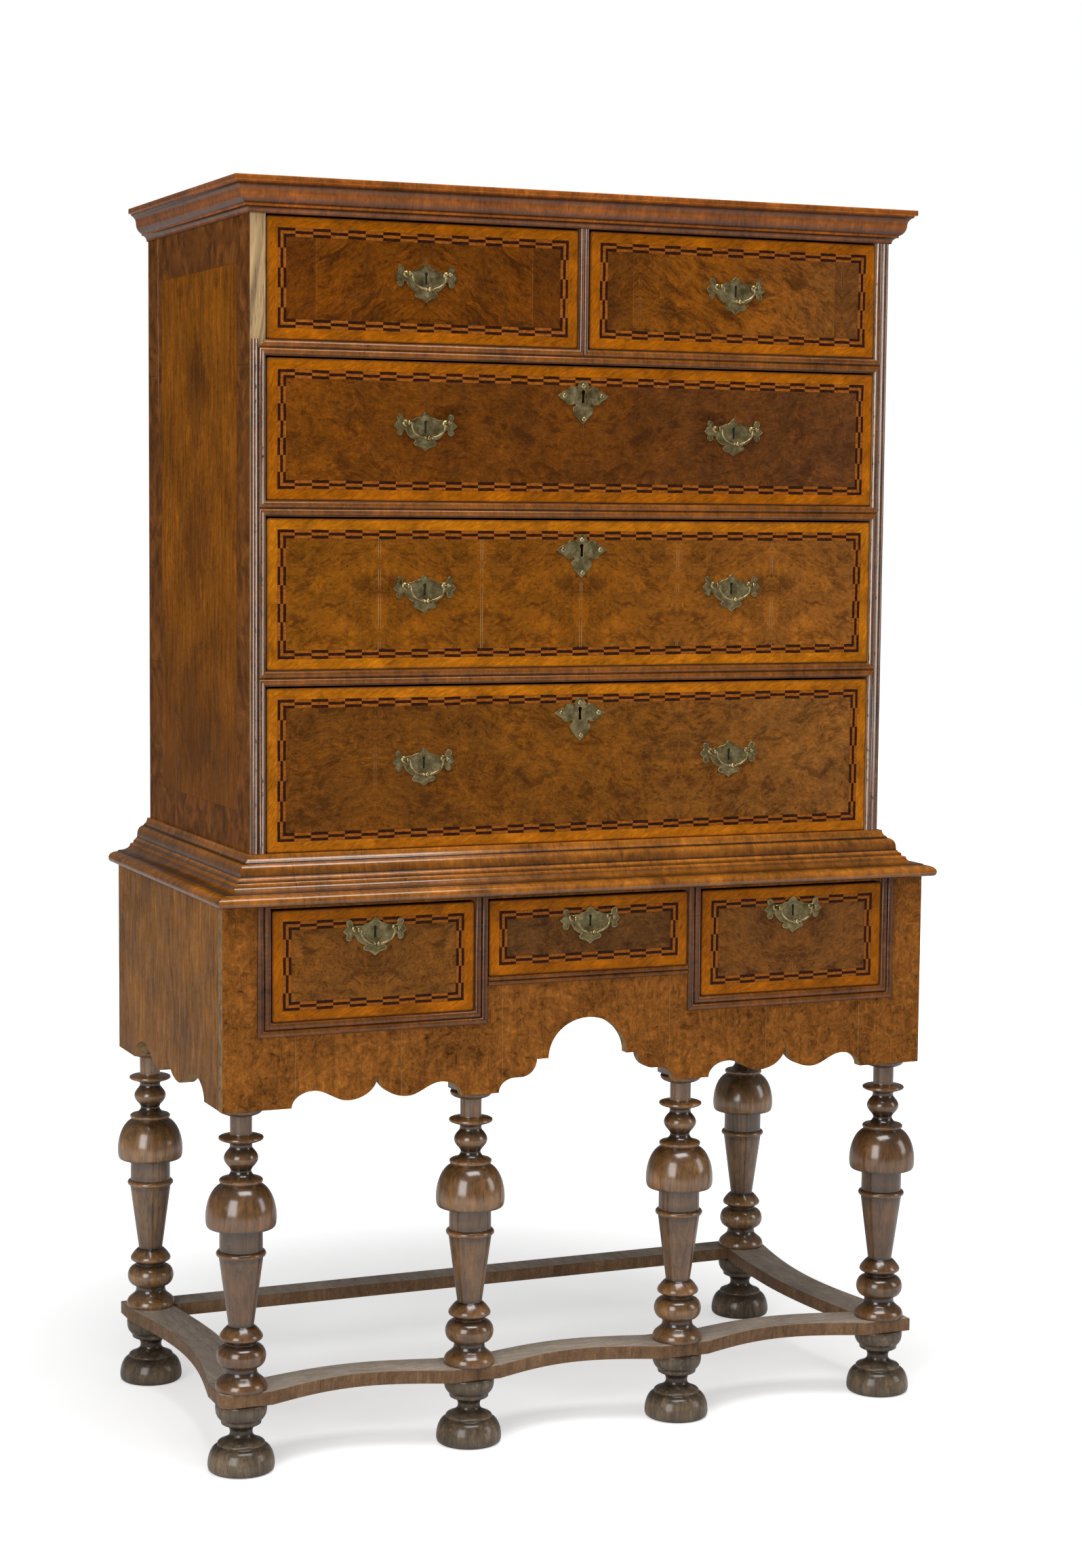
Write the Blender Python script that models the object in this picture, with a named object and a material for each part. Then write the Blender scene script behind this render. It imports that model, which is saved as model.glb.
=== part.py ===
"""Chest on stand in walnut, about 1690: an upper chest of five drawers on a stand of three.

Metres, +Z up, the front faces -Y. The floor is z = 0, and the middle of the
plan, mouldings included, is x = y = 0. Every sub-part is one closed solid in
one object. A drawer's origin is the middle of its front, and a bail's origin
lies on the line through its two posts, about which it swings.
"""

import math

import bmesh
import bpy
from mathutils import Vector

# Clearances.
FIT = 0.0003  # between pieces that touch
RUN = 0.0010  # beside a drawer
HEAD_PLAY = 0.0025  # over a drawer front

# Upper chest.
CASE_WIDTH = 0.902
CASE_DEPTH = 0.464
SIDE_T = 0.0205
BACK_T = 0.012
TOP_T = 0.018
BOTTOM_T = 0.018
RAIL_H = 0.020  # height of the rails between the drawers
RAIL_DEEP = 0.060
DUST_T = 0.008
DIVIDER_T = 0.015
SHORT_OPEN_H = 0.1538  # heights of the drawer openings, top to bottom
UPPER_OPEN_H = 0.1790
MIDDLE_OPEN_H = 0.1929
LOWER_OPEN_H = 0.2108

# Stand.
STAND_SIDE_OUT = 0.049  # the stand's sides, outside the upper chest's
STAND_OUT = 0.040  # the stand's front, in front of the upper chest's
STAND_BACK_IN = 0.012  # the stand's back, in front of the upper chest's
STAND_TOP_T = 0.0162
STAND_CASE_H = 0.260  # apron foot to the underside of the top board
STAND_BOARD_T = 0.018
STAND_BACK_T = 0.015
STAND_BACK_H = 0.230
STAND_RAIL_H = 0.005  # front board above the stand's drawers
DEEP_OPEN_H = 0.1440
SHALLOW_OPEN_H = 0.1013
CENTRE_OPEN_W = 0.2860
STAND_END = 0.0640  # front board between a deep opening and the corner
OPEN_GAP = 0.0190  # front board between two openings
SHALLOW_RAIL_H = 0.012  # bead rail under the shallow drawer
PARTITION_T = 0.012
RUNNER_T = 0.009  # boards that the stand's drawers run on

# Mouldings, as (distance out from the upper chest, height) from the bottom up.
CORNICE_H = 0.0435
CORNICE = (
    (0.0015, 0.0000), (0.0035, 0.0042), (0.0068, 0.0078), (0.0090, 0.0080), (0.0092, 0.0108),
    (0.0135, 0.0128), (0.0163, 0.0170), (0.0172, 0.0222), (0.0180, 0.0280), (0.0208, 0.0326),
    (0.0240, 0.0345), (0.0242, 0.0360), (0.0278, 0.0362), (0.0278, CORNICE_H),
)
WAIST_H = 0.0438  # waist moulding above the stand's top board
WAIST = (
    (0.0460, 0.0000), (0.0370, 0.0012), (0.0325, 0.0030), (0.0290, 0.0060), (0.0285, 0.0090),
    (0.0245, 0.0096), (0.0240, 0.0135), (0.0205, 0.0160), (0.0188, 0.0195), (0.0183, 0.0245),
    (0.0160, 0.0295), (0.0118, 0.0330), (0.0100, 0.0338), (0.0070, 0.0368), (0.0048, 0.0405),
    (0.0044, WAIST_H),
)
THUMB = (
    (0.0560, 0.0000), (0.0594, 0.0030), (0.0600, 0.0070), (0.0570, 0.0112), (0.0520, 0.0138),
    (0.0464, 0.0150),
)
WAIST_OUT = 0.0600  # the thumb moulding's reach, the widest point of the piece

# Double bead moulding round the drawers.
BEAD_W = 0.0185
BEAD_PROUD = 0.0030
BEAD_BASE = 0.0015  # drawer fronts stand this far in front of the wood that carries the beads

# Drawers.
FRONT_T = 0.022
LINING_T = 0.009
DRAWER_BOTTOM_T = 0.007
LINING_DROP = 0.006  # linings stand this far below the top of the front
BEHIND_DRAWER = 0.022  # free depth behind a drawer of the upper chest
BEHIND_STAND_DRAWER = 0.037
EDGE_ROUND = 0.0015

# Legs, feet and stretcher.
FOOT_H = 0.088
STRETCHER_T = 0.018
LEG_H = 0.364
LEG_IN_X = 0.035  # leg axes in from the stand's ends
LEG_IN_FRONT = 0.035
LEG_IN_BACK = 0.0335
INNER_LEG_X = 0.152
DOWEL_R = 0.011
DOWEL_UP = 0.030  # dowel above the stretcher, inside the leg
TURN_SIDES = 12
BLOCK_W = 0.044
BLOCK_UNDER = 0.012  # free height between a leg's block and the boards that the drawers run on
# Leg turnings, (radius, distance below the apron), downward.
# A swell is (core radius, middle, swell, half height).
LEG_NECK = (
    (0.0270, 0.0), (0.0272, 0.0040), (0.0142, 0.0100), (0.0140, 0.0340), (0.0284, 0.0400),
    (0.0140, 0.0470),
)
LEG_KNOB = (0.0142, 0.0650, 0.0077, 0.0110)
LEG_COLLAR = ((0.0140, 0.0820), (0.0266, 0.0890), (0.0278, 0.0940))
LEG_BELL = (0.0200, 0.1410, 0.0252, 0.0440)
BELL_LIP = ((0.0428, 0.1530), (0.0274, 0.1530), (0.0275, 0.1830), (0.0318, 0.1900), (0.0276, 0.1960))
# The same from the foot of the taper down, (radius, distance above the stretcher).
LEG_CUP = ((0.0165, 0.0830), (0.0262, 0.0720), (0.0276, 0.0670), (0.0202, 0.0600))
LEG_RING = (0.0215, 0.0430, 0.0104, 0.0135)
LEG_BASE = ((0.0203, 0.0240), (0.0235, 0.0160), (0.0336, 0.0040), (0.0330, 0.0))
# Foot turnings, (radius, distance below the stretcher), then the dome on the floor, a swell above the floor.
FOOT_NECK = (
    (0.0328, 0.0), (0.0322, 0.0140), (0.0252, 0.0260), (0.0150, 0.0340), (0.0150, 0.0410),
    (0.0245, 0.0487),
)
FOOT_LIP = (0.0306, 0.0537)
FOOT_DOME = (0.0300, 0.0060, 0.0130, 0.0250)
FOOT_SOLE_R = 0.0385
PAD_HALF = 0.034
PAD_FRONT = 0.028
PAD_BACK = 0.033
BAY_FRONT = 0.032  # depth of the stretcher's concave bays
BAY_BACK = 0.021
ARM_BAY = 0.024
ARM_W = 0.054
BACK_ARM_W = 0.044

# Apron: the cut in the front board between the inner legs.
APRON_PAD_IN = 0.126
ARCH_R = 0.056
ARCH_RISE = 0.051
ARCH_FOOT = 0.041
STEP_OUT = 0.0725
OVOLO_R = 0.0225
COVE_OUT = 0.104
APRON_PAD_W = 0.0515
# Apron: the paired ogee arches between two pads, on the front and on the sides.
FRONT_CORNER_PAD = 0.0915
SIDE_PAD = 0.081
FRONT_MOTIF = {"cove": 0.0290, "arch_z": 0.0205, "lobe_at": 0.0400, "lobe_z": 0.0050, "cusp_z": 0.0355}
SIDE_MOTIF = {"cove": 0.0460, "arch_z": 0.0280, "lobe_at": 0.0480, "lobe_z": 0.0035, "cusp_z": 0.0330}

# Brass.
PLATE_T = 0.0015
POST_X = 0.0270  # posts either side of the plate's middle
POST_Z = 0.0095
POST_OUT = 0.0105  # bail axis in front of the plate
SHANK_R = 0.0022
EYE_R = 0.0042
EYE_HOLE_R = 0.0020
EYE_W = 0.0045
EYE_SIDES = 6
BAIL_WIRE_R = 0.0015
BAIL_SWELL_R = 0.0021  # beside the knuckle
BAIL_KNUCKLE_R = 0.0039
BAIL_X = 0.0224
BAIL_DROP = 0.0190
STAND_PLATE_Z = 0.044  # plates below the top board of the stand
KEY_W = 0.0055
KEY_DEEP = 0.012
KEY_BELOW = 0.0400  # keyhole below the top of its drawer's opening

# Heights and depths that follow from the sizes.
STRETCHER_Z = FOOT_H
LEG_Z = STRETCHER_Z + STRETCHER_T
APRON_Z = LEG_Z + LEG_H
STAND_TOP_Z = APRON_Z + STAND_CASE_H
CASE_Z = STAND_TOP_Z + STAND_TOP_T
LOWER_Z = CASE_Z + WAIST_H
MIDDLE_Z = LOWER_Z + LOWER_OPEN_H + RAIL_H
UPPER_Z = MIDDLE_Z + MIDDLE_OPEN_H + RAIL_H
SHORT_Z = UPPER_Z + UPPER_OPEN_H + RAIL_H
CORNICE_Z = SHORT_Z + SHORT_OPEN_H
TOP_Z = CORNICE_Z + CORNICE_H
FRONT_Y = WAIST_OUT - (CASE_DEPTH + WAIST_OUT) / 2
BACK_Y = FRONT_Y + CASE_DEPTH
STAND_FRONT_Y = FRONT_Y - STAND_OUT
STAND_BACK_Y = BACK_Y - STAND_BACK_IN
CASE_X = CASE_WIDTH / 2
OPEN_X = CASE_X - SIDE_T
STAND_X = CASE_X + STAND_SIDE_OUT
LEG_X = STAND_X - LEG_IN_X
LEG_FRONT_Y = STAND_FRONT_Y + LEG_IN_FRONT
LEG_BACK_Y = STAND_BACK_Y - LEG_IN_BACK
DEEP_TOP_Z = STAND_TOP_Z - STAND_RAIL_H
DEEP_Z = DEEP_TOP_Z - DEEP_OPEN_H
SHALLOW_Z = DEEP_TOP_Z - SHALLOW_OPEN_H
BLOCK_TOP_Z = DEEP_Z - RUNNER_T - BLOCK_UNDER
SIDE_OPEN_X = CENTRE_OPEN_W / 2 + OPEN_GAP  # inner edge of a deep opening
SIDE_OPEN_FAR_X = STAND_X - STAND_END
DRAWER_LENGTH = CASE_DEPTH - BACK_T - BEHIND_DRAWER
STAND_DRAWER_LENGTH = STAND_BACK_Y - STAND_FRONT_Y - STAND_BACK_T - BEHIND_STAND_DRAWER
PLATE_OUT_X = (OPEN_X + DIVIDER_T / 2) / 2  # plates left and right, centred on the short drawers


def material(name, colour, roughness, metallic=0.0):
    """A plain Principled material."""
    made = bpy.data.materials.new(name)
    made.use_nodes = True
    shader = made.node_tree.nodes["Principled BSDF"]
    shader.inputs["Base Color"].default_value = (*colour, 1.0)
    shader.inputs["Roughness"].default_value = roughness
    shader.inputs["Metallic"].default_value = metallic
    made.diffuse_color = (*colour, 1.0)
    return made


def add_object(name, bm, surface, origin=(0.0, 0.0, 0.0)):
    """Turn a bmesh in world coordinates into an object with its origin at a given point."""
    bmesh.ops.remove_doubles(bm, verts=bm.verts, dist=1e-6)
    bmesh.ops.recalc_face_normals(bm, faces=bm.faces)
    bmesh.ops.translate(bm, verts=bm.verts, vec=-Vector(origin))
    mesh = bpy.data.meshes.new(name)
    bm.to_mesh(mesh)
    bm.free()
    mesh.materials.append(surface)
    obj = bpy.data.objects.new(name, mesh)
    obj.location = origin
    bpy.context.scene.collection.objects.link(obj)
    return obj


def add_block(bm, low, high):
    """Add a box between two corners to a bmesh and return its vertices."""
    verts = bmesh.ops.create_cube(bm, size=1.0)["verts"]
    low, high = Vector(low), Vector(high)
    bmesh.ops.scale(bm, verts=verts, vec=high - low)
    bmesh.ops.translate(bm, verts=verts, vec=(low + high) / 2)
    return verts


def blocks(name, corners, surface, origin=(0.0, 0.0, 0.0)):
    """An object of one or more separate boxes, each given by two corners."""
    bm = bmesh.new()
    for low, high in corners:
        add_block(bm, low, high)
    return add_object(name, bm, surface, origin)


def prism(name, outline, plane, low, high, surface, origin=(0.0, 0.0, 0.0)):
    """Extrude a closed outline, drawn in two axes such as "XZ", along the third from low to high."""
    first, second = "XYZ".index(plane[0]), "XYZ".index(plane[1])
    third = 3 - first - second
    bm = bmesh.new()
    verts = []
    for u, v in outline:
        place = [0.0, 0.0, 0.0]
        place[first], place[second], place[third] = u, v, low
        verts.append(bm.verts.new(place))
    face = bm.faces.new(verts)
    grown = bmesh.ops.extrude_face_region(bm, geom=[face])["geom"]
    along = [0.0, 0.0, 0.0]
    along[third] = high - low
    bmesh.ops.translate(bm, verts=[v for v in grown if isinstance(v, bmesh.types.BMVert)], vec=along)
    return add_object(name, bm, surface, origin)


def skin(bm, rings, closed_ring=True):
    """Join rings of vertices one after the other with quads and cap the two ends."""
    count = len(rings[0])
    for one, two in zip(rings, rings[1:]):
        for i in range(count if closed_ring else count - 1):
            j = (i + 1) % count
            bm.faces.new((one[i], one[j], two[j], two[i]))
    bm.faces.new(rings[0])
    bm.faces.new(rings[-1])


def moulded_board(name, profile, base_z, surface):
    """A board whose front and two ends carry a moulding, given as (reach, height), with a flat back."""
    bm = bmesh.new()
    rings = []
    for reach, height in profile:
        x, front, z = CASE_X + reach, FRONT_Y - reach, base_z + height
        corners = ((-x, BACK_Y, z), (-x, front, z), (x, front, z), (x, BACK_Y, z))
        rings.append([bm.verts.new(corner) for corner in corners])
    skin(bm, rings)
    return add_object(name, bm, surface)


def mitred_strip(name, path, profile, face_y, surface):
    """Run a moulding along a path drawn on the front, (x, z), with mitred corners.

    The profile is a closed outline of (distance to the right of the path, distance in front of face_y).
    """
    normals = []
    for (x0, z0), (x1, z1) in zip(path, path[1:]):
        run = Vector((x1 - x0, z1 - z0)).normalized()
        normals.append(Vector((run.y, -run.x)))
    bm = bmesh.new()
    rings = []
    for i, (x, z) in enumerate(path):
        before, after = normals[max(i - 1, 0)], normals[min(i, len(normals) - 1)]
        mitre = (before + after) / (1.0 + before.dot(after))
        rings.append([bm.verts.new((x + mitre.x * s, face_y - d, z + mitre.y * s)) for s, d in profile])
    skin(bm, rings)
    return add_object(name, bm, surface)


def turned(name, profile, axis_x, axis_y, surface, sides=TURN_SIDES):
    """Turn a profile of (radius, height), from the top of the axis down, about a vertical axis."""
    bm = bmesh.new()
    verts = [bm.verts.new((radius, 0.0, z)) for radius, z in profile]
    edges = [bm.edges.new(pair) for pair in zip(verts, verts[1:])]
    axis = Vector((0.0, 0.0, 1.0))
    bmesh.ops.spin(bm, geom=verts + edges, cent=Vector(), axis=axis, angle=math.tau, steps=sides)
    bmesh.ops.translate(bm, verts=bm.verts, vec=(axis_x, axis_y, 0.0))
    turning = add_object(name, bm, surface)
    turning.data.shade_smooth()
    turning.data.set_sharp_from_angle(angle=math.radians(40))
    return turning


def combine(target, tool, operation):
    """Apply an exact Boolean of tool to target, then remove the tool."""
    step = target.modifiers.new("combine", "BOOLEAN")
    step.operation, step.solver, step.object = operation, "EXACT", tool
    bpy.context.view_layer.objects.active = target
    bpy.ops.object.modifier_apply(modifier=step.name)
    bpy.data.objects.remove(tool, do_unlink=True)
    return target


def arc(cx, cy, rx, ry, start, end, count):
    """Points on an ellipse, from start to end in degrees, both ends included."""
    points = []
    for i in range(count + 1):
        angle = math.radians(start + (end - start) * i / count)
        points.append((cx + rx * math.cos(angle), cy + ry * math.sin(angle)))
    return points


def double_bead(width=BEAD_W, proud=BEAD_PROUD + BEAD_BASE, count=3):
    """Open profile of two half-round beads side by side, as (across, proud)."""
    reed = width / 2
    points = []
    for centre in (reed / 2, reed * 1.5):
        points += arc(centre, 0.0, reed / 2 - 0.0004, proud, 170, 10, count)
    return points


def shifted(points, du=0.0, dv=0.0, flip=False):
    """Move points of two coordinates, mirrored in the first one if flip is set."""
    sign = -1.0 if flip else 1.0
    return [(sign * u + du, v + dv) for u, v in points]


def motif(start, end, cove, arch_z, lobe_at, lobe_z, cusp_z):
    """Edge of the paired ogee arches between two pads, from start to end, (along, height over the pads)."""
    half = (end - start) / 2
    arch_at = half - cove
    right = arc(lobe_at, cusp_z, lobe_at, cusp_z - lobe_z, 180, 270, 4)
    for i in range(1, 4):
        share = i / 4
        rise = (1 - math.cos(math.pi * share)) / 2
        right.append((lobe_at + (arch_at - lobe_at) * share, lobe_z + (arch_z - lobe_z) * rise))
    right += arc(arch_at, 0.0, cove, arch_z, 90, 0, 4)
    left = [(-u, v) for u, v in reversed(right[1:])]
    return shifted(left + right, (start + end) / 2)


def front_apron():
    """Lower edge of the front board, left to right, (x, height over the pads)."""
    right = arc(0.0, ARCH_FOOT, ARCH_R, ARCH_RISE, 90, 0, 7)
    right += arc(STEP_OUT + OVOLO_R, ARCH_FOOT, OVOLO_R, OVOLO_R, 180, 270, 4)
    cove_z = ARCH_FOOT - OVOLO_R
    right += arc(COVE_OUT, 0.0, APRON_PAD_IN - COVE_OUT, cove_z, 90, 0, 3)
    right += motif(APRON_PAD_IN + APRON_PAD_W, STAND_X - FRONT_CORNER_PAD, **FRONT_MOTIF)
    right.append((STAND_X, 0.0))
    return [(-u, v) for u, v in reversed(right[1:])] + right


def side_apron():
    """Lower edge of a side board, front to back, (y, height over the pads)."""
    front, back = STAND_FRONT_Y + STAND_BOARD_T + FIT, STAND_BACK_Y
    edge = motif(STAND_FRONT_Y + SIDE_PAD, STAND_BACK_Y - SIDE_PAD, **SIDE_MOTIF)
    return [(front, 0.0)] + edge + [(back, 0.0)]


def upper_side(name, hand, bead_top, surface):
    """Side board of the upper chest; its front edge carries a double bead up to bead_top."""
    top = TOP_Z - TOP_T - FIT
    board = blocks(name, [((OPEN_X, FRONT_Y + BEAD_BASE, CASE_Z + FIT), (CASE_X, BACK_Y, top))], surface)
    start = OPEN_X + (SIDE_T - BEAD_W) / 2
    bead = [(start + s, FRONT_Y + BEAD_BASE - d) for s, d in double_bead()]
    strip = [(bead[0][0], FRONT_Y + BEAD_BASE + 0.001)] + bead + [(bead[-1][0], FRONT_Y + BEAD_BASE + 0.001)]
    combine(board, prism("bead", strip, "XY", LOWER_Z, bead_top, surface), "UNION")
    if hand < 0:
        mirror_x(board)
    return board


def mirror_x(obj):
    """Mirror an object's mesh in x = 0 and turn its faces outward again."""
    bm = bmesh.new()
    bm.from_mesh(obj.data)
    bmesh.ops.scale(bm, verts=bm.verts, vec=(-1.0, 1.0, 1.0))
    bmesh.ops.recalc_face_normals(bm, faces=bm.faces)
    bm.to_mesh(obj.data)
    bm.free()


def rail(name, opening_z, surface):
    """Front rail under an opening, with its double bead, and the dust board behind it."""
    top, bottom = opening_z, opening_z - RAIL_H
    front, dust_back = FRONT_Y + BEAD_BASE, BACK_Y - BACK_T - FIT
    start = bottom + (RAIL_H - BEAD_W) / 2
    outline = [(front, bottom)] + [(front - d, start + s) for s, d in double_bead()]
    outline += [(front, top), (dust_back, top), (dust_back, top - DUST_T)]
    outline += [(front + RAIL_DEEP, top - DUST_T), (front + RAIL_DEEP, bottom)]
    return prism(name, outline, "YZ", -(OPEN_X - FIT), OPEN_X - FIT, surface)


def divider(surface):
    """Upright between the two short drawers, run back to guide them, with a double bead on its edge."""
    half, front = DIVIDER_T / 2, FRONT_Y + BEAD_BASE
    bead = [(s - half, front - d) for s, d in double_bead(DIVIDER_T)]
    outline = [(-half, front)] + bead + [(half, front)]
    outline += [(half, BACK_Y - BACK_T - FIT), (-half, BACK_Y - BACK_T - FIT)]
    return prism("divider", outline, "XY", SHORT_Z - DUST_T / 2, CORNICE_Z - FIT, surface)


def keyhole(centre_x, centre_z, near_y, far_y, grow, surface):
    """Tool for a keyhole: a round head over a slot that widens downward."""
    half = KEY_W / 2 + grow
    outline = [(half * 0.75, -0.0096 - grow), (half * 0.62, 0.0), *arc(0.0, 0.0045, half, half, -20, 200, 6)]
    outline += [(-half * 0.62, 0.0), (-half * 0.75, -0.0096 - grow)]
    return prism("keyhole", shifted(outline, centre_x, centre_z), "XZ", near_y, far_y, surface)


def drawer(name, opening, front_y, length, surface, key=None):
    """Open-topped drawer for an opening (x0, x1, z0, z1), cut for a key at (x, z) if one is given."""
    x0, x1, z0, z1 = opening
    x0, x1, z0, z1 = x0 + RUN, x1 - RUN, z0 + FIT, z1 - HEAD_PLAY
    middle = ((x0 + x1) / 2, front_y, (z0 + z1) / 2)
    bm = bmesh.new()
    add_block(bm, (x0, front_y, z0), (x1, front_y + FRONT_T, z1))
    rim = [e for e in bm.edges if all(v.co.y < front_y + 1e-6 for v in e.verts)]
    bmesh.ops.bevel(bm, geom=rim, offset=EDGE_ROUND, segments=2, profile=0.5, affect="EDGES")
    front = add_object(name, bm, surface, middle)
    top, back = z1 - LINING_DROP, front_y + length
    inside = front_y + FRONT_T
    tray = blocks("tray", [((x0, inside - 0.001, z0), (x1, back, top))], surface)
    hollow_low = (x0 + LINING_T, inside, z0 + DRAWER_BOTTOM_T)
    hollow = blocks("hollow", [(hollow_low, (x1 - LINING_T, back - LINING_T, top + 0.01))], surface)
    combine(tray, hollow, "DIFFERENCE")
    combine(front, tray, "UNION")
    if key:
        combine(front, keyhole(*key, front_y - 0.001, front_y + KEY_DEEP, 0.0008, surface), "DIFFERENCE")
    return front


def half_outline(points):
    """Whole outline from the right half, drawn from the top middle to the bottom middle."""
    return list(points) + [(-x, z) for x, z in reversed(points[1:-1])]


def plate_outline():
    """Bat-wing back plate: peaked top, a trefoil scroll at each end and a lobed pendant, about its middle."""
    right = [(0.0, 0.0245), (0.0075, 0.0172), (0.0150, 0.0152), (0.0285, 0.0125)]
    right += arc(0.0346, 0.0168, 0.0043, 0.0043, 165, -30, 2)
    right += [(0.0434, 0.0064)]
    right += arc(0.0348, -0.0018, 0.0045, 0.0045, 50, -150, 2)
    right += [(0.0270, 0.0010), (0.0230, -0.0068), (0.0105, -0.0120)]
    right += [(0.0156, -0.0152), (0.0122, -0.0194), (0.0060, -0.0212), (0.0, -0.0260)]
    return half_outline(right)


def escutcheon_outline():
    """Shield-shaped escutcheon with a lobe for each of its four pins, about the keyhole's middle."""
    right = [(0.0, 0.0198)]
    right += arc(0.0, 0.0118, 0.0078, 0.0068, 55, -35, 2)
    right += arc(0.0155, 0.0052, 0.0070, 0.0066, 130, 10, 3)
    right += [(0.0280, 0.0052), (0.0360, -0.0008), (0.0275, -0.0066)]
    right += arc(0.0190, -0.0075, 0.0062, 0.0048, -30, -150, 2)
    right += [(0.0108, -0.0130), (0.0148, -0.0168), (0.0130, -0.0228), (0.0088, -0.0285), (0.0, -0.0373)]
    return half_outline(right)


def eye(centre, surface):
    """Eye of a post: a short ring about the bail's axis, with the shank that carries it."""
    x, y, z = centre
    turn = 360 / EYE_SIDES
    outer = arc(0.0, 0.0, EYE_R, EYE_R, 0, 360 - turn, EYE_SIDES - 1)
    inner = arc(0.0, 0.0, EYE_HOLE_R, EYE_HOLE_R, 0, 360 - turn, EYE_SIDES - 1)
    bm = bmesh.new()
    rings = []
    for side in (-EYE_W / 2, EYE_W / 2):
        for ring in (outer, inner):
            rings.append([bm.verts.new((x + side, y + u, z + v)) for u, v in ring])
    low_out, low_in, high_out, high_in = rings
    for one, two in ((low_out, low_in), (high_in, high_out), (low_in, high_in), (high_out, low_out)):
        for i in range(EYE_SIDES):
            j = (i + 1) % EYE_SIDES
            bm.faces.new((one[i], one[j], two[j], two[i]))
    ring_object = add_object("eye", bm, surface)
    shank_start = y + (EYE_R + EYE_HOLE_R) / 2
    outline = shifted(arc(0.0, 0.0, SHANK_R, SHANK_R, 45, 315, 3), x, z)
    shank = prism("shank", outline, "XZ", shank_start, y + POST_OUT + PLATE_T / 2, surface)
    return combine(ring_object, shank, "UNION")


def handle_plate(name, x, z, face_y, surface):
    """Back plate with its two posts on a drawer front."""
    near = face_y - FIT
    outline = shifted(plate_outline(), x, z)
    plate = prism(name, outline, "XZ", near - PLATE_T, near, surface)
    for side in (-1, 1):
        centre = (x + side * POST_X, near - PLATE_T - POST_OUT, z + POST_Z)
        combine(plate, eye(centre, surface), "UNION")
    return plate


def bail(name, x, z, face_y, surface):
    """Bail that hangs in the eyes of a plate: a bow of swelling wire with a knuckle at its lowest point."""
    origin = (x, face_y - FIT - PLATE_T - POST_OUT, z + POST_Z)
    shoulder = POST_X - EYE_W / 2 - 0.0008
    half = [(POST_X + EYE_W / 2 + 0.0008, 0.0, 1.0), (shoulder, 0.0, 1.0)]
    steps = 2
    bow = arc(0.0, -0.0040, BAIL_X, BAIL_DROP - 0.0040, 0, -72, steps)
    swelling, knuckle = BAIL_SWELL_R / BAIL_WIRE_R, BAIL_KNUCKLE_R / BAIL_WIRE_R
    half += [(u, v, 1.0 + (swelling - 1.0) * i / steps) for i, (u, v) in enumerate(bow)]
    half += [(0.77 * BAIL_KNUCKLE_R, -BAIL_DROP, 0.8 * knuckle)]
    points = half + [(0.0, -BAIL_DROP, knuckle)] + [(-u, v, r) for u, v, r in reversed(half)]
    curve = bpy.data.curves.new(name, "CURVE")
    curve.dimensions = "3D"
    curve.bevel_depth = BAIL_WIRE_R
    curve.bevel_resolution = 1
    curve.use_fill_caps = True
    spline = curve.splines.new("POLY")
    spline.points.add(len(points) - 1)
    for point, (u, v, r) in zip(spline.points, points):
        point.co = (u, 0.0, v, 1.0)
        point.radius = r
    curve.materials.append(surface)
    obj = bpy.data.objects.new(name, curve)
    obj.location = origin
    bpy.context.scene.collection.objects.link(obj)
    return obj


def escutcheon(name, x, z, face_y, surface):
    """Escutcheon with its keyhole on a drawer front."""
    near = face_y - FIT
    plate = prism(name, shifted(escutcheon_outline(), x, z), "XZ", near - PLATE_T, near, surface)
    return combine(plate, keyhole(x, z, near - 2 * PLATE_T, near + PLATE_T, 0.0, surface), "DIFFERENCE")


def swell(shape, start, end, count, base, sign):
    """Rings of a swell (core radius, middle, swell, half height), with its middle at base + sign * middle."""
    core, middle, rise, half = shape
    return arc(core, base + sign * middle, rise, half, start, end, count)


def rings(points, base, sign):
    """Rings (radius, distance) set off from a base height."""
    return [(radius, base + sign * away) for radius, away in points]


def leg_profile():
    """Profile of a leg from the apron down its outside, then up its blind hole to the axis."""
    top, foot, hole = APRON_Z - FIT, LEG_Z + FIT, DOWEL_R + 2 * FIT
    profile = [(0.0, top)] + rings(LEG_NECK, top, -1) + swell(LEG_KNOB, 60, -60, 2, top, -1)
    profile += rings(LEG_COLLAR, top, -1) + swell(LEG_BELL, 66, 0, 3, top, -1) + rings(BELL_LIP, top, -1)
    profile += rings(LEG_CUP, foot, 1) + swell(LEG_RING, 55, -55, 2, foot, 1) + rings(LEG_BASE, foot, 1)
    return profile + [(hole, foot), (hole, LEG_Z + DOWEL_UP + FIT), (0.0, LEG_Z + DOWEL_UP + FIT)]


def foot_profile():
    """Profile of a foot from its dowel's tip down the outside to the floor."""
    top, tip = STRETCHER_Z - FIT, LEG_Z + DOWEL_UP
    profile = [(0.0, tip), (DOWEL_R, tip), (DOWEL_R, top)]
    profile += rings(FOOT_NECK, top, -1) + rings([FOOT_LIP], top, -1)
    return profile + swell(FOOT_DOME, 60, 0, 2, 0.0, 1) + [(FOOT_SOLE_R, 0.0), (0.0, 0.0)]


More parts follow.
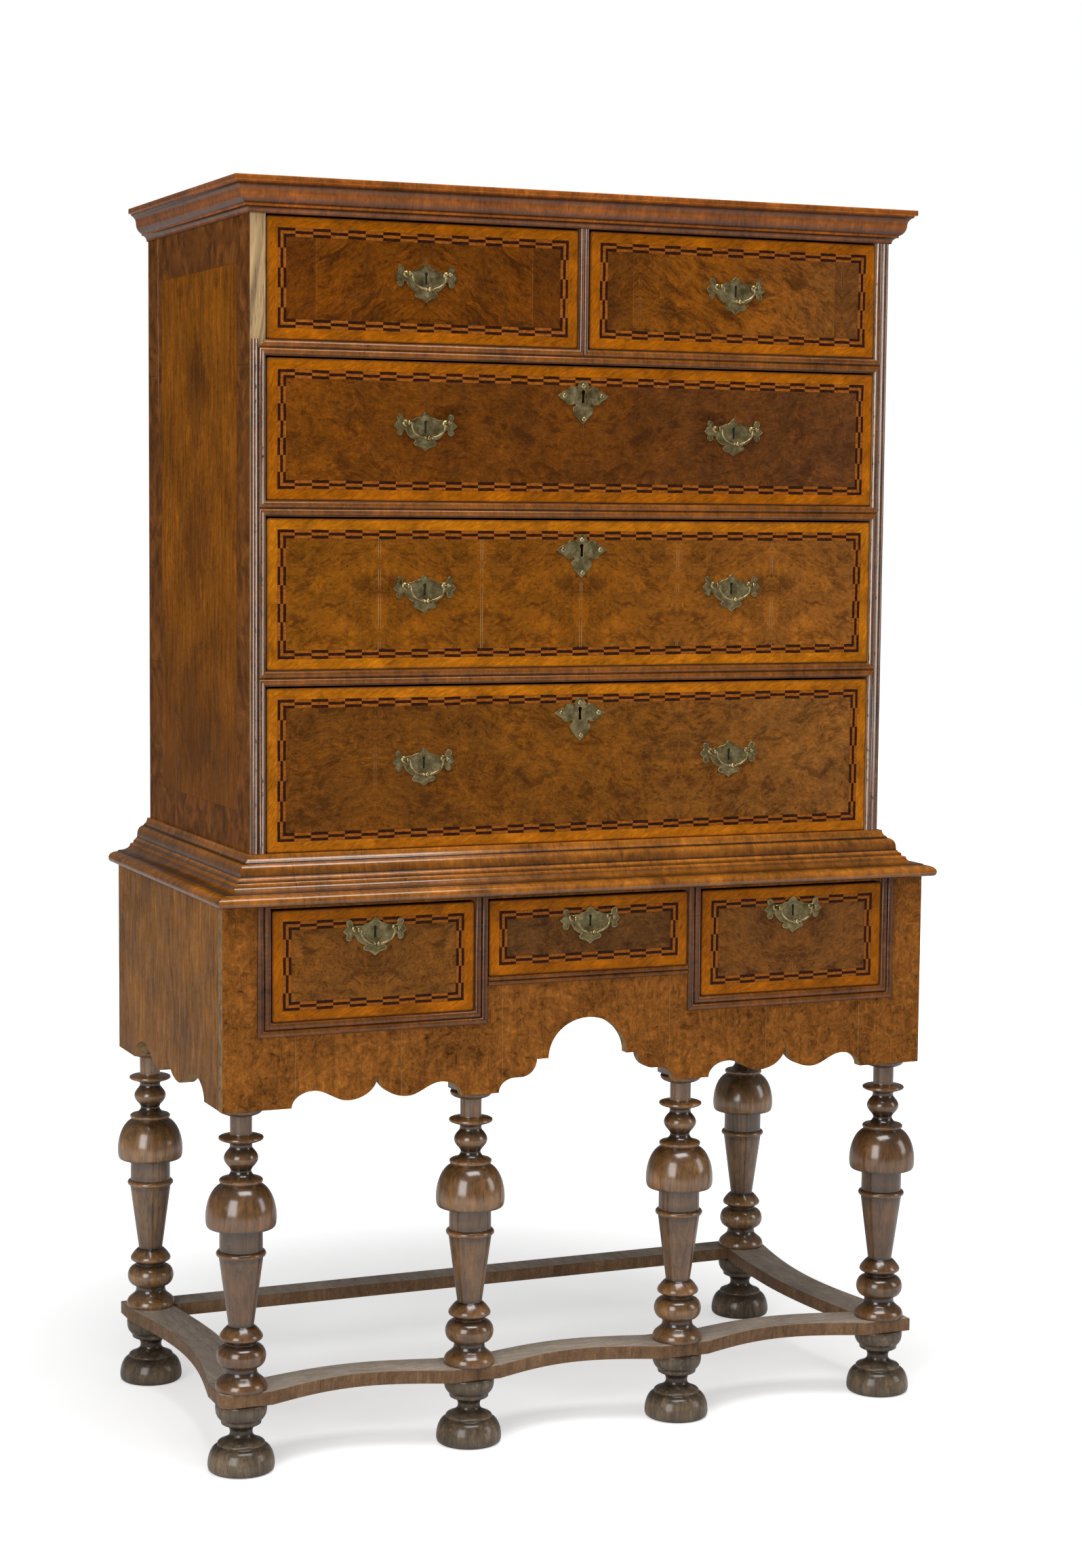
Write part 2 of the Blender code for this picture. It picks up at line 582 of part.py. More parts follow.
def corner_block(x, y, inner):
    """Box of the block that ties a leg to the boards behind the apron, as two corners.

    inner gives the faces of the boards it is glued to: (x face or None, y face, direction away from it).
    """
    x_face, y_face, away = inner
    z0, z1 = APRON_Z - 2 * FIT, BLOCK_TOP_Z
    if x_face is None:
        xs = (x - BLOCK_W / 2, x + BLOCK_W / 2)
    else:
        inward = -1.0 if x_face > 0 else 1.0
        xs = sorted((x_face + inward * FIT, x_face + inward * (FIT + BLOCK_W)))
    ys = sorted((y_face + away * FIT, y_face + away * (FIT + BLOCK_W)))
    return (xs[0], ys[0], z0), (xs[1], ys[1], z1)


def leg_places():
    """Name, axis and block seat of each leg."""
    board_x = STAND_X - STAND_BOARD_T
    front_face, back_face = STAND_FRONT_Y + STAND_BOARD_T, STAND_BACK_Y - STAND_BACK_T
    return {
        "front_left": (-LEG_X, LEG_FRONT_Y, (-board_x, front_face, 1.0)),
        "front_inner_left": (-INNER_LEG_X, LEG_FRONT_Y, (None, front_face, 1.0)),
        "front_inner_right": (INNER_LEG_X, LEG_FRONT_Y, (None, front_face, 1.0)),
        "front_right": (LEG_X, LEG_FRONT_Y, (board_x, front_face, 1.0)),
        "rear_left": (-LEG_X, LEG_BACK_Y, (-board_x, back_face, -1.0)),
        "rear_right": (LEG_X, LEG_BACK_Y, (board_x, back_face, -1.0)),
    }


def leg(name, x, y, seat, surface):
    """Turned leg with the corner block that it is fixed to."""
    turning = turned(name, leg_profile(), x, y, surface)
    return combine(turning, blocks("block", [corner_block(x, y, seat)], surface), "UNION")


def bay(x0, x1, y, depth, count=6):
    """Arc-shaped bay between two pads along x, (x, y), without its ends."""
    points = []
    for i in range(1, count):
        share = i / count
        points.append((x0 + (x1 - x0) * share, y + depth * math.sin(math.pi * share)))
    return points


def front_stretcher(surface):
    """Front board of the stretcher: a pad at each leg and a concave bay between each two."""
    legs = (-LEG_X, -INNER_LEG_X, INNER_LEG_X, LEG_X)
    front, back = LEG_FRONT_Y - PAD_FRONT, LEG_FRONT_Y + PAD_BACK
    outline = []
    for i, x in enumerate(legs):
        outline += [(x - PAD_HALF, front), (x + PAD_HALF, front)]
        if i < len(legs) - 1:
            outline += bay(x + PAD_HALF, legs[i + 1] - PAD_HALF, front, BAY_FRONT)
    for i, x in reversed(list(enumerate(legs))):
        outline += [(x + PAD_HALF, back), (x - PAD_HALF, back)]
        if i:
            outline += bay(x - PAD_HALF, legs[i - 1] + PAD_HALF, back, BAY_BACK)
    board = prism("stretcher_front", outline, "XY", STRETCHER_Z, STRETCHER_Z + STRETCHER_T, surface)
    for x in legs:
        combine(board, dowel_tool(x, LEG_FRONT_Y, surface), "DIFFERENCE")
    return board


def dowel_tool(x, y, surface):
    """Tool for the hole that a foot's dowel passes through."""
    radius = DOWEL_R + 2 * FIT
    top, bottom = LEG_Z + 0.01, STRETCHER_Z - 0.01
    profile = [(0.0, top), (radius, top), (radius, bottom), (0.0, bottom)]
    return turned("hole", profile, x, y, surface)


def rear_stretcher(surface):
    """Two concave side arms and the straight back board of the stretcher, joined at the rear legs."""
    front = LEG_FRONT_Y + PAD_BACK + FIT
    back = LEG_BACK_Y + PAD_BACK
    outer = LEG_X + PAD_HALF
    inner = LEG_X - PAD_HALF + 0.006
    back_in = back - BACK_ARM_W
    steps = 7
    arm = []
    for i in range(steps + 1):
        share = i / steps
        arm.append((front + (back_in - front) * share, math.sin(math.pi * share)))
    outline = [(outer, back), (outer, back_in + 0.010)]
    outline += [(outer - ARM_BAY * swell, y) for y, swell in reversed(arm)]
    outline += [(inner - (ARM_W - (outer - inner) + ARM_BAY) * swell, y) for y, swell in arm]
    left = [(-x, y) for x, y in reversed(outline)]
    board = prism("stretcher_rear", outline + left, "XY", STRETCHER_Z, STRETCHER_Z + STRETCHER_T, surface)
    for x in (-LEG_X, LEG_X):
        combine(board, dowel_tool(x, LEG_BACK_Y, surface), "DIFFERENCE")
    return board


def cornice(surface):
    """Moulded cornice with the top board and the rail over the short drawers."""
    top = moulded_board("cornice_top", CORNICE, CORNICE_Z, surface)
    hollow = ((-CASE_X - FIT, FRONT_Y - FIT, CORNICE_Z - 0.01), (CASE_X + FIT, BACK_Y + 0.01, TOP_Z - TOP_T))
    combine(top, blocks("hollow", [hollow], surface), "DIFFERENCE")
    inside = OPEN_X - FIT
    rail_top = TOP_Z - TOP_T + 0.001
    front_rail = ((-inside, FRONT_Y - 0.001, CORNICE_Z), (inside, FRONT_Y + RAIL_DEEP / 2, rail_top))
    return combine(top, blocks("rail", [front_rail], surface), "UNION")


def waist(surface):
    """Top board of the stand with its thumb moulding and the moulding that the upper chest sits in."""
    thumb = list(THUMB)
    above = [(reach, height + STAND_TOP_T) for reach, height in WAIST]
    board = moulded_board("waist_moulding", thumb + above, STAND_TOP_Z, surface)
    well = ((-CASE_X - FIT, FRONT_Y + BEAD_BASE - FIT, CASE_Z), (CASE_X + FIT, BACK_Y + 0.01, LOWER_Z + 0.01))
    return combine(board, blocks("well", [well], surface), "DIFFERENCE")


def stand_openings():
    """Openings of the stand's drawers: (x0, x1, z0, z1)."""
    half, far = CENTRE_OPEN_W / 2, SIDE_OPEN_FAR_X
    return {
        "left": (-far, -SIDE_OPEN_X, DEEP_Z, DEEP_TOP_Z),
        "centre": (-half, half, SHALLOW_Z, DEEP_TOP_Z),
        "right": (SIDE_OPEN_X, far, DEEP_Z, DEEP_TOP_Z),
    }


def stand_front(surface):
    """Front board of the stand: shaped apron, three openings and the double beads round them."""
    top = STAND_TOP_Z - FIT
    outline = shifted(front_apron(), 0.0, APRON_Z) + [(STAND_X, top), (-STAND_X, top)]
    face, back = STAND_FRONT_Y + BEAD_BASE, STAND_FRONT_Y + STAND_BOARD_T
    board = prism("stand_front", outline, "XZ", face, back, surface)
    holes = [((x0, face - 0.01, z0), (x1, back + 0.01, z1)) for x0, x1, z0, z1 in stand_openings().values()]
    combine(board, blocks("holes", holes, surface), "DIFFERENCE")
    profile = double_bead()
    closed = [(profile[0][0], -0.001)] + profile + [(profile[-1][0], -0.001)]
    for x0, x1, z0, z1 in (stand_openings()["left"], stand_openings()["right"]):
        path = [(x0, z1), (x0, z0), (x1, z0), (x1, z1)]
        combine(board, mitred_strip("beads", path, closed, face, surface), "UNION")
    x0, x1, z0, _ = stand_openings()["centre"]
    low = double_bead(SHALLOW_RAIL_H)
    closed = [(low[0][0], -0.001)] + low + [(low[-1][0], -0.001)]
    path = [(x0, z0), (x1, z0)]
    return combine(board, mitred_strip("beads", path, closed, face, surface), "UNION")


def stand_side(name, hand, surface):
    """Side board of the stand with its shaped apron."""
    top = STAND_TOP_Z - FIT
    outline = shifted(side_apron(), 0.0, APRON_Z)
    outline += [(STAND_BACK_Y, top), (STAND_FRONT_Y + STAND_BOARD_T + FIT, top)]
    inner, outer = sorted((hand * (STAND_X - STAND_BOARD_T), hand * STAND_X))
    return prism(name, outline, "YZ", inner, outer, surface)


def stand_frame(surface):
    """Back board of the stand with the partitions and boards that its drawers run on."""
    board_x, top = STAND_X - STAND_BOARD_T - FIT, STAND_TOP_Z - FIT
    front, back = STAND_FRONT_Y + STAND_BOARD_T + FIT, STAND_BACK_Y - STAND_BACK_T
    bottom = STAND_TOP_Z - STAND_BACK_H
    frame = blocks("stand_back_frame", [((-board_x, back, bottom), (board_x, STAND_BACK_Y, top))], surface)
    middle = (CENTRE_OPEN_W / 2 + SIDE_OPEN_X) / 2
    deep, shallow = DEEP_Z, SHALLOW_Z
    for side in (-1, 1):
        x0, x1 = sorted((side * (middle - PARTITION_T / 2), side * (middle + PARTITION_T / 2)))
        upright = ((x0, front, deep - RUNNER_T), (x1, back + 0.001, top))
        combine(frame, blocks("partition", [upright], surface), "UNION")
        x0, x1 = sorted((side * middle, side * board_x))
        shelf = ((x0, front, deep - RUNNER_T), (x1, back + 0.001, deep))
        combine(frame, blocks("runner", [shelf], surface), "UNION")
    shelf = ((-middle, front, shallow - RUNNER_T), (middle, back + 0.001, shallow))
    return combine(frame, blocks("runner", [shelf], surface), "UNION")


def build():
    """Build every sub-part."""
    for obj in list(bpy.data.objects):
        bpy.data.objects.remove(obj, do_unlink=True)
    walnut = material("walnut_veneer", (0.30, 0.14, 0.05), 0.35)
    moulding = material("walnut_moulding", (0.22, 0.10, 0.05), 0.35)
    oak = material("oak_carcase", (0.42, 0.28, 0.15), 0.6)
    dark = material("turned_wood", (0.13, 0.07, 0.04), 0.3)
    brass = material("brass", (0.45, 0.40, 0.20), 0.35, 1.0)

    upper_side("upper_side_left", -1, SHORT_Z, walnut)
    upper_side("upper_side_right", 1, CORNICE_Z - FIT, walnut)
    inside = OPEN_X - FIT
    back_low = (-inside, BACK_Y - BACK_T, CASE_Z + FIT)
    blocks("upper_back", [(back_low, (inside, BACK_Y, TOP_Z - TOP_T - FIT))], oak)
    bottom_low = (-inside, FRONT_Y + BEAD_BASE, LOWER_Z - BOTTOM_T)
    blocks("upper_bottom", [(bottom_low, (inside, BACK_Y - BACK_T - FIT, LOWER_Z))], oak)
    combine(rail("rail_top", SHORT_Z, moulding), divider(moulding), "UNION")
    rail("rail_middle", UPPER_Z, moulding)
    rail("rail_bottom", MIDDLE_Z, moulding)
    cornice(moulding)

    waist(moulding)
    stand_front(walnut)
    stand_side("stand_side_left", -1, walnut)
    stand_side("stand_side_right", 1, walnut)
    stand_frame(oak)
    for place, (x, y, seat) in leg_places().items():
        leg(f"leg_{place}", x, y, seat, dark)
        turned(f"foot_{place}", foot_profile(), x, y, dark)
    front_stretcher(dark)
    rear_stretcher(dark)

    half = DIVIDER_T / 2
    long_drawers = {
        "upper": (UPPER_Z, UPPER_OPEN_H),
        "middle": (MIDDLE_Z, MIDDLE_OPEN_H),
        "lower": (LOWER_Z, LOWER_OPEN_H),
    }
    for tag, (z0, height) in long_drawers.items():
        key = (0.0, z0 + height - KEY_BELOW)
        drawer(f"drawer_{tag}", (-OPEN_X, OPEN_X, z0, z0 + height), FRONT_Y, DRAWER_LENGTH, walnut, key)
        escutcheon(f"escutcheon_{tag}", *key, FRONT_Y, brass)
        for side, x in (("left", -PLATE_OUT_X), ("right", PLATE_OUT_X)):
            handle_plate(f"plate_{tag}_{side}", x, z0 + height / 2, FRONT_Y, brass)
            bail(f"bail_{tag}_{side}", x, z0 + height / 2, FRONT_Y, brass)
    for side, x0, x1, x in (("left", -OPEN_X, -half, -PLATE_OUT_X), ("right", half, OPEN_X, PLATE_OUT_X)):
        opening = (x0, x1, SHORT_Z, CORNICE_Z)
        drawer(f"drawer_short_{side}", opening, FRONT_Y, DRAWER_LENGTH, walnut)
        handle_plate(f"plate_short_{side}", x, SHORT_Z + SHORT_OPEN_H / 2, FRONT_Y, brass)
        bail(f"bail_short_{side}", x, SHORT_Z + SHORT_OPEN_H / 2, FRONT_Y, brass)
    for side, opening in stand_openings().items():
        drawer(f"stand_drawer_{side}", opening, STAND_FRONT_Y, STAND_DRAWER_LENGTH, walnut)
        x, z = (opening[0] + opening[1]) / 2, STAND_TOP_Z - STAND_PLATE_Z
        handle_plate(f"plate_stand_{side}", x, z, STAND_FRONT_Y, brass)
        bail(f"bail_stand_{side}", x, z, STAND_FRONT_Y, brass)


build()
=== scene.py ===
"""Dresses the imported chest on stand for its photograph: veneers, mouldings, turnings, brasses and studio.

Every length is in metres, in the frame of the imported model: x to the right, y to the back, z up.
"""

from __future__ import annotations

import logging
import math
from dataclasses import dataclass
from enum import Enum
from typing import Callable, Sequence

import bmesh
import bpy
from mathutils import Matrix, Vector


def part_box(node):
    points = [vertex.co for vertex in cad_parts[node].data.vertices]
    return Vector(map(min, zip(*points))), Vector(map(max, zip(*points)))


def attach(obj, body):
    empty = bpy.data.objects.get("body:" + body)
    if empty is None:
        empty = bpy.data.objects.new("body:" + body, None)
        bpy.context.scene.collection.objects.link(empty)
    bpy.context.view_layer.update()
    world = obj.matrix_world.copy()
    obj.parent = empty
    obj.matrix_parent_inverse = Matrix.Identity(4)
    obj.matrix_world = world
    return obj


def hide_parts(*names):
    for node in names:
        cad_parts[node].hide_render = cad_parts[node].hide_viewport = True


LOG = logging.getLogger("chest_on_stand")
FIT = 0.0003  # between pieces that touch
PAST = 0.01  # how far a cutting tool reaches past a board
SHY = 0.0002  # how far a board at the back ends in front of its solid's back
TENTHS = 10000  # tenths of a millimetre in a metre
UPRIGHT = (math.pi / 2, 0.0, 0.0)  # turns a piece drawn flat to face the front

Piece = bpy.types.Object
Material = bpy.types.Material
Socket = bpy.types.NodeSocket
Triple = tuple[float, float, float]
Four = tuple[float, float, float, float]
Points = list[tuple[float, float]]
Steps = Sequence[tuple[float, float]]

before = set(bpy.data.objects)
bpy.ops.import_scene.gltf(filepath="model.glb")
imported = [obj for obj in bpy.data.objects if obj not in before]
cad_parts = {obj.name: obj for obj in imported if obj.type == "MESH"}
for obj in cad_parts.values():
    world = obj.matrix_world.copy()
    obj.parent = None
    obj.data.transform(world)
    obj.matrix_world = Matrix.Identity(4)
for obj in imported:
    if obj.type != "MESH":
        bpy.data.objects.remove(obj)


class Side(Enum):
    """Left or right of the chest, seen from the front."""

    LEFT = -1
    RIGHT = 1

    @property
    def word(self) -> str:
        """The side as it stands in a node's name."""
        return self.name.lower()


class Grain(Enum):
    """The axis that the grain of a board runs along."""

    X = 0
    Y = 1
    Z = 2

    def drawn(self, along: float, across: float = 1.0) -> Triple:
        """Scales that draw a pattern out along the grain."""
        return tuple(along if axis is self else across for axis in Grain)


class Sharp(Enum):
    """The angle in degrees past which a piece's edges stay sharp."""

    BOARD = 26
    PLATE = 30
    MOULDING = 34
    FRONT = 35
    TURNING = 38
    REED = 40
    CAST = 50


@dataclass(frozen=True)
class Rect:
    """An upright rectangle seen from the front."""

    x0: float
    x1: float
    z0: float
    z1: float

    @property
    def middle(self) -> tuple[float, float]:
        """The middle, (x, z)."""
        return (self.x0 + self.x1) / 2, (self.z0 + self.z1) / 2

    @property
    def size(self) -> tuple[float, float]:
        """The width and height."""
        return self.x1 - self.x0, self.z1 - self.z0

    def holds(self, at: Vector) -> bool:
        """Whether a point lies inside the rectangle, seen from the front."""
        return self.x0 < at.x < self.x1 and self.z0 < at.z < self.z1

    def grown(self, left: float, right: float, low: float, high: float) -> Rect:
        """The rectangle with each of its sides moved outward."""
        return Rect(self.x0 - left, self.x1 + right, self.z0 - low, self.z1 + high)


def srgb(red: float, green: float, blue: float) -> Four:
    """A colour as a shader takes it, from the 0 to 255 values of a picture."""
    shares = [value / 255 for value in (red, green, blue)]
    light = [share / 12.92 if share <= 0.04045 else ((share + 0.055) / 1.055) ** 2.4 for share in shares]
    return (*light, 1.0)


def tenths(*pairs: tuple[int, int]) -> Points:
    """Points in metres from tenths of a millimetre."""
    return [(u / TENTHS, v / TENTHS) for u, v in pairs]


def shaded(base: float, *pairs: tuple[int, int]) -> Steps:
    """(height, shade) from tenths of a millimetre over a base and hundredths of a shade."""
    return tuple((base + up / TENTHS, shade / 100) for up, shade in pairs)


def arc(cx: float, cy: float, rx: float, ry: float, start: float, end: float, count: int) -> Points:
    """Points on an ellipse.

    Args:
        cx: First coordinate of the middle.
        cy: Second coordinate of the middle.
        rx: Radius along the first axis.
        ry: Radius along the second axis.
        start: Angle of the first point, in degrees.
        end: Angle of the last point, in degrees.
        count: How many steps lie between the two.

    Returns:
        The points from start to end, both ends included.
    """
    angles = [math.radians(start + (end - start) * i / count) for i in range(count + 1)]
    return [(cx + rx * math.cos(angle), cy + ry * math.sin(angle)) for angle in angles]


def flipped(points: Points) -> Points:
    """The mirror image of an outline's right half, run the other way."""
    return [(-u, v) for u, v in reversed(points)]


def mirrored(points: Points) -> Points:
    """A whole outline from its right half, which starts and ends on the middle line."""
    return points + flipped(points[1:-1])


def drawn_in(points: Points, by: float) -> Points:
    """An outline that runs clockwise, moved inward by a width."""
    inner = []
    for before, at, after in zip(points[-1:] + points[:-1], points, points[1:] + points[:1]):
        along = Vector((after[0] - before[0], after[1] - before[1])).normalized()
        inner.append((at[0] + by * along.y, at[1] - by * along.x))
    return inner


def shifted(points: Points, du: float, dv: float) -> Points:
    """An outline moved in its own plane."""
    return [(u + du, v + dv) for u, v in points]


class Bench:
    """The steps that every piece is made with: sawing, turning, moulding, easing and placing."""

    EASE = 0.0006  # rounding of a board's arrises

    @staticmethod
    def only(*pieces: Piece) -> None:
        """Select these pieces alone and make the first one active."""
        bpy.ops.object.select_all(action="DESELECT")
        for piece in pieces:
            piece.select_set(True)
        bpy.context.view_layer.objects.active = pieces[0]

    @staticmethod
    def named(name: str, size: Sequence[float] = (1.0, 1.0, 1.0)) -> Piece:
        """Name and size the primitive that was just added and put its place into its mesh."""
        piece = bpy.context.active_object
        piece.name = piece.data.name = name
        piece.scale = size
        bpy.ops.object.transform_apply()
        return piece

    @staticmethod
    def linked(name: str, data: bpy.types.ID) -> Piece:
        """A new object in the scene."""
        piece = bpy.data.objects.new(name, data)
        bpy.context.scene.collection.objects.link(piece)
        return piece

    @classmethod
    def place(cls, piece: Piece, at: Sequence[float], turn: Triple = (0.0, 0.0, 0.0)) -> Piece:
        """Turn a piece, move it and put both into its mesh."""
        cls.only(piece)
        piece.rotation_euler = turn
        piece.location = at
        bpy.ops.object.transform_apply()
        return piece

    @classmethod
    def stand_up(cls, piece: Piece, y: float) -> Piece:
        """Turn a flat piece drawn in (x, z) upright, its middle at a depth y."""
        return cls.place(piece, (0.0, y, 0.0), UPRIGHT)

    @classmethod
    def worked(cls, piece: Piece, kind: str, **settings: object) -> Piece:
        """Put a piece through one modifier and apply it."""
        step = piece.modifiers.new(kind, kind)
        for name, value in settings.items():
            setattr(step, name, value)
        cls.only(piece)
        bpy.ops.object.modifier_apply(modifier=step.name)
        return piece

    @classmethod
    def cut(cls, piece: Piece, tool: Piece) -> Piece:
        """Cut a tool's shape out of a piece and throw the tool away."""
        cls.worked(piece, "BOOLEAN", operation="DIFFERENCE", solver="EXACT", object=tool)
        bpy.data.objects.remove(tool, do_unlink=True)
        return piece

    @classmethod
    def smooth(cls, piece: Piece, sharp: Sharp = Sharp.BOARD) -> Piece:
        """Shade a piece smooth but for its sharp edges."""
        cls.only(piece)
        bpy.ops.object.shade_smooth_by_angle(angle=math.radians(sharp.value))
        return piece

    @staticmethod
    def edit() -> None:
        """Enter edit mode with the whole active piece selected."""
        bpy.ops.object.mode_set(mode="EDIT")
        bpy.ops.mesh.select_all(action="SELECT")

    @staticmethod
    def outward(merge: float = 1e-6) -> None:
        """Merge doubles, turn all faces outward and leave edit mode."""
        bpy.ops.mesh.select_all(action="SELECT")
        bpy.ops.mesh.remove_doubles(threshold=merge)
        bpy.ops.mesh.normals_make_consistent(inside=False)
        bpy.ops.object.mode_set(mode="OBJECT")

    @classmethod
    def drawn_through(cls, rings: Sequence[tuple[Triple, Triple]], edges: bool = False) -> None:
        """Draw what is selected in edit mode through a row of rings and close the piece.

        Args:
            rings: Middle and size of each ring, the first one being what is selected.
            edges: Whether edges are drawn out, not a face.
        """
        extrude = bpy.ops.mesh.extrude_edges_move if edges else bpy.ops.mesh.extrude_region_move
        for (middle, size), (next_middle, next_size) in zip(rings, rings[1:]):
            extrude(TRANSFORM_OT_translate={"value": tuple(b - a for a, b in zip(middle, next_middle))})
            grow = tuple(b / a for a, b in zip(size, next_size))
            bpy.ops.transform.resize(value=grow, center_override=next_middle)
        cls.outward()

    @classmethod
    def block(cls, name: str, low: Triple, high: Triple, ease: float = EASE) -> Piece:
        """A squared board between two corners with its arrises eased."""
        middle = [(a + b) / 2 for a, b in zip(low, high)]
        bpy.ops.mesh.primitive_cube_add(size=1.0, location=middle)
        piece = cls.named(name, [b - a for a, b in zip(low, high)])
        if not ease:
            return piece
        angle = math.radians(32)
        cls.worked(piece, "BEVEL", width=ease, segments=2, limit_method="ANGLE", angle_limit=angle)
        return cls.smooth(piece)

    @classmethod
    def turn(cls, name: str, profile: Points, centre: tuple[float, float], sides: int = 24) -> Piece:
        """Turn a piece on the lathe.

        Args:
            name: Name of the piece.
            profile: (radius, height) along the outside, no radius zero.
            centre: (x, y) of the axis.
            sides: Facets round the axis.

        Returns:
            The turned piece, closed at both ends.
        """
        rings = [((*centre, height), (radius, radius, 1.0)) for radius, height in profile]
        bpy.ops.mesh.primitive_circle_add(
            vertices=sides, radius=profile[0][0], fill_type="NGON", location=rings[0][0]
        )
        piece = cls.named(name)
        cls.edit()
        cls.drawn_through(rings)
        return cls.smooth(piece, Sharp.TURNING)

    @classmethod
    def moulded(cls, name: str, profile: Points, half: float, front: float, back: float) -> Piece:
        """A board whose front and two ends carry a moulding, with a flat back.

        Args:
            name: Name of the piece.
            profile: (reach, height) from the bottom up.
            half: Half width at reach zero.
            front: y of the front at reach zero.
            back: y of the back.

        Returns:
            The closed piece.
        """
        rings = [((0.0, back, up), (half + reach, back - front + reach, 1.0)) for reach, up in profile]
        (_, _, height), (wide, deep, _) = rings[0]
        bpy.ops.mesh.primitive_plane_add(size=1.0, location=(0.0, back - deep / 2, height))
        piece = cls.named(name, (2 * wide, deep, 1.0))
        cls.edit()
        cls.drawn_through(rings)
        return cls.smooth(piece, Sharp.MOULDING)

    @classmethod
    def mitred(cls, name: str, section: Sequence[tuple[Rect, float]]) -> Piece:
        """A mitred frame drawn through a row of upright rectangles.

        Args:
            name: Name of the piece.
            section: (rectangle, y) along the section; the last one is the first again.

        Returns:
            The closed frame.
        """
        rings = []
        for rect, y in section:
            (x, z), (width, height) = rect.middle, rect.size
            rings.append(((x, y, z), (width, 1.0, height)))
        middle, (width, _, height) = rings[0]
        bpy.ops.mesh.primitive_plane_add(size=1.0, location=middle, rotation=UPRIGHT)
        piece = cls.named(name, (width, height, 1.0))
        cls.edit()
        bpy.ops.mesh.delete(type="ONLY_FACE")
        bpy.ops.mesh.select_all(action="SELECT")
        cls.drawn_through(rings, edges=True)
        return cls.smooth(piece, Sharp.REED)

    @classmethod
    def trim(cls, piece: Piece, point: Triple, away: Triple) -> Piece:
        """Saw off what lies beyond a plane, on the side that away points to, and close the cut."""
        cls.only(piece)
        cls.edit()
        bpy.ops.mesh.bisect(plane_co=point, plane_no=away, use_fill=True, clear_outer=True)
        cls.outward()
        return piece

    @classmethod
    def from_curve(
        cls, name: str, runs: Sequence[Sequence[tuple[Triple, float]]], merge: float, **settings: object
    ) -> Piece:
        """The closed mesh of a curve.

        Args:
            name: Name of the piece.
            runs: (point, radius) along each spline; those of a flat curve close on themselves.
            merge: How near to each other points become one.
            settings: The curve's own settings.

        Returns:
            The piece.
        """
        curve = bpy.data.curves.new(name, "CURVE")
        for setting, value in settings.items():
            setattr(curve, setting, value)
        for run in runs:
            spline = curve.splines.new("POLY")
            spline.points.add(len(run) - 1)
            spline.use_cyclic_u = curve.dimensions == "2D"
            for point, (place, radius) in zip(spline.points, run):
                point.co = (*place, 1.0)
                point.radius = radius
        cls.only(cls.linked(name, curve))
        bpy.ops.object.convert(target="MESH")
        bpy.ops.object.mode_set(mode="EDIT")
        cls.outward(merge)
        return bpy.context.active_object

    @classmethod
    def sawn(
        cls, name: str, outlines: Sequence[Points], thickness: float, ease: float, segments: int = 1
    ) -> Piece:
        """A board sawn to an outline, flat on the ground plane, half its thickness to each side.

        Args:
            name: Name of the piece.
            outlines: The outer edge, then any holes.
            thickness: Thickness of the board.
            ease: Rounding of its arrises.
            segments: Steps of that rounding.

        Returns:
            The closed piece.
        """
        runs = [[((u, v, 0.0), 1.0) for u, v in outline] for outline in outlines]
        flat = {"dimensions": "2D", "fill_mode": "BOTH", "extrude": thickness / 2 - ease}
        rounding = {"bevel_depth": ease, "bevel_resolution": segments, "offset": -ease}
        return cls.smooth(cls.from_curve(name, runs, 2e-5, **flat, **rounding))

    @classmethod
    def wire(cls, name: str, path: Sequence[tuple[Triple, float]]) -> Piece:
        """Wire of changing thickness along a smooth path of (point, radius)."""
        section = {"dimensions": "3D", "bevel_depth": 1.0, "bevel_resolution": 5, "use_fill_caps": True}
        return cls.smooth(cls.from_curve(name, [path], 1e-6, **section), Sharp.CAST)

    @classmethod
    def copy(cls, piece: Piece, name: str, by: Sequence[float]) -> Piece:
        """A copy of a piece with its own mesh, moved."""
        twin = cls.linked(name, piece.data.copy())
        twin.data.name = name
        return cls.place(twin, by)

    @classmethod
    def join(cls, name: str, pieces: Sequence[Piece]) -> Piece:
        """Join pieces into one object."""
        cls.only(*pieces)
        bpy.ops.object.join()
        whole = bpy.context.active_object
        whole.name = whole.data.name = name
        return whole

    @staticmethod
    def paint(piece: Piece, slot: int, test: Callable[[Vector, Vector], bool]) -> None:
        """Give the faces whose middle and normal pass a test a material slot."""
        for face in piece.data.polygons:
            if test(face.center, face.normal):
                face.material_index = slot


def dress(
    piece: Piece, body: str, materials: Sequence[Material], nodes: Sequence[str] = ()
) -> None:
    """Give a piece its materials and its place in the frame.

    Args:
        piece: The finished piece.
        body: The body it rides on.
        materials: Its materials, in the order of its slots.
        nodes: The nodes that it stands for.
    """
    # Large faces rule the shading, so that flat boards look flat up to their arrises
    Bench.worked(piece, "WEIGHTED_NORMAL", keep_sharp=True)
    slots = [face.material_index for face in piece.data.polygons]
    piece.data.materials.clear()
    for material in materials:
        piece.data.materials.append(material)
    piece.data.polygons.foreach_set("material_index", slots)
    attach(piece, body)
    if nodes:
        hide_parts(*nodes)
    LOG.info("%s rides on %s, %d faces", piece.name, body, len(piece.data.polygons))


def repaint(node: str, material: Material) -> None:
    """Give a node that is carried over from the frame its material."""
    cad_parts[node].data.materials[0] = material


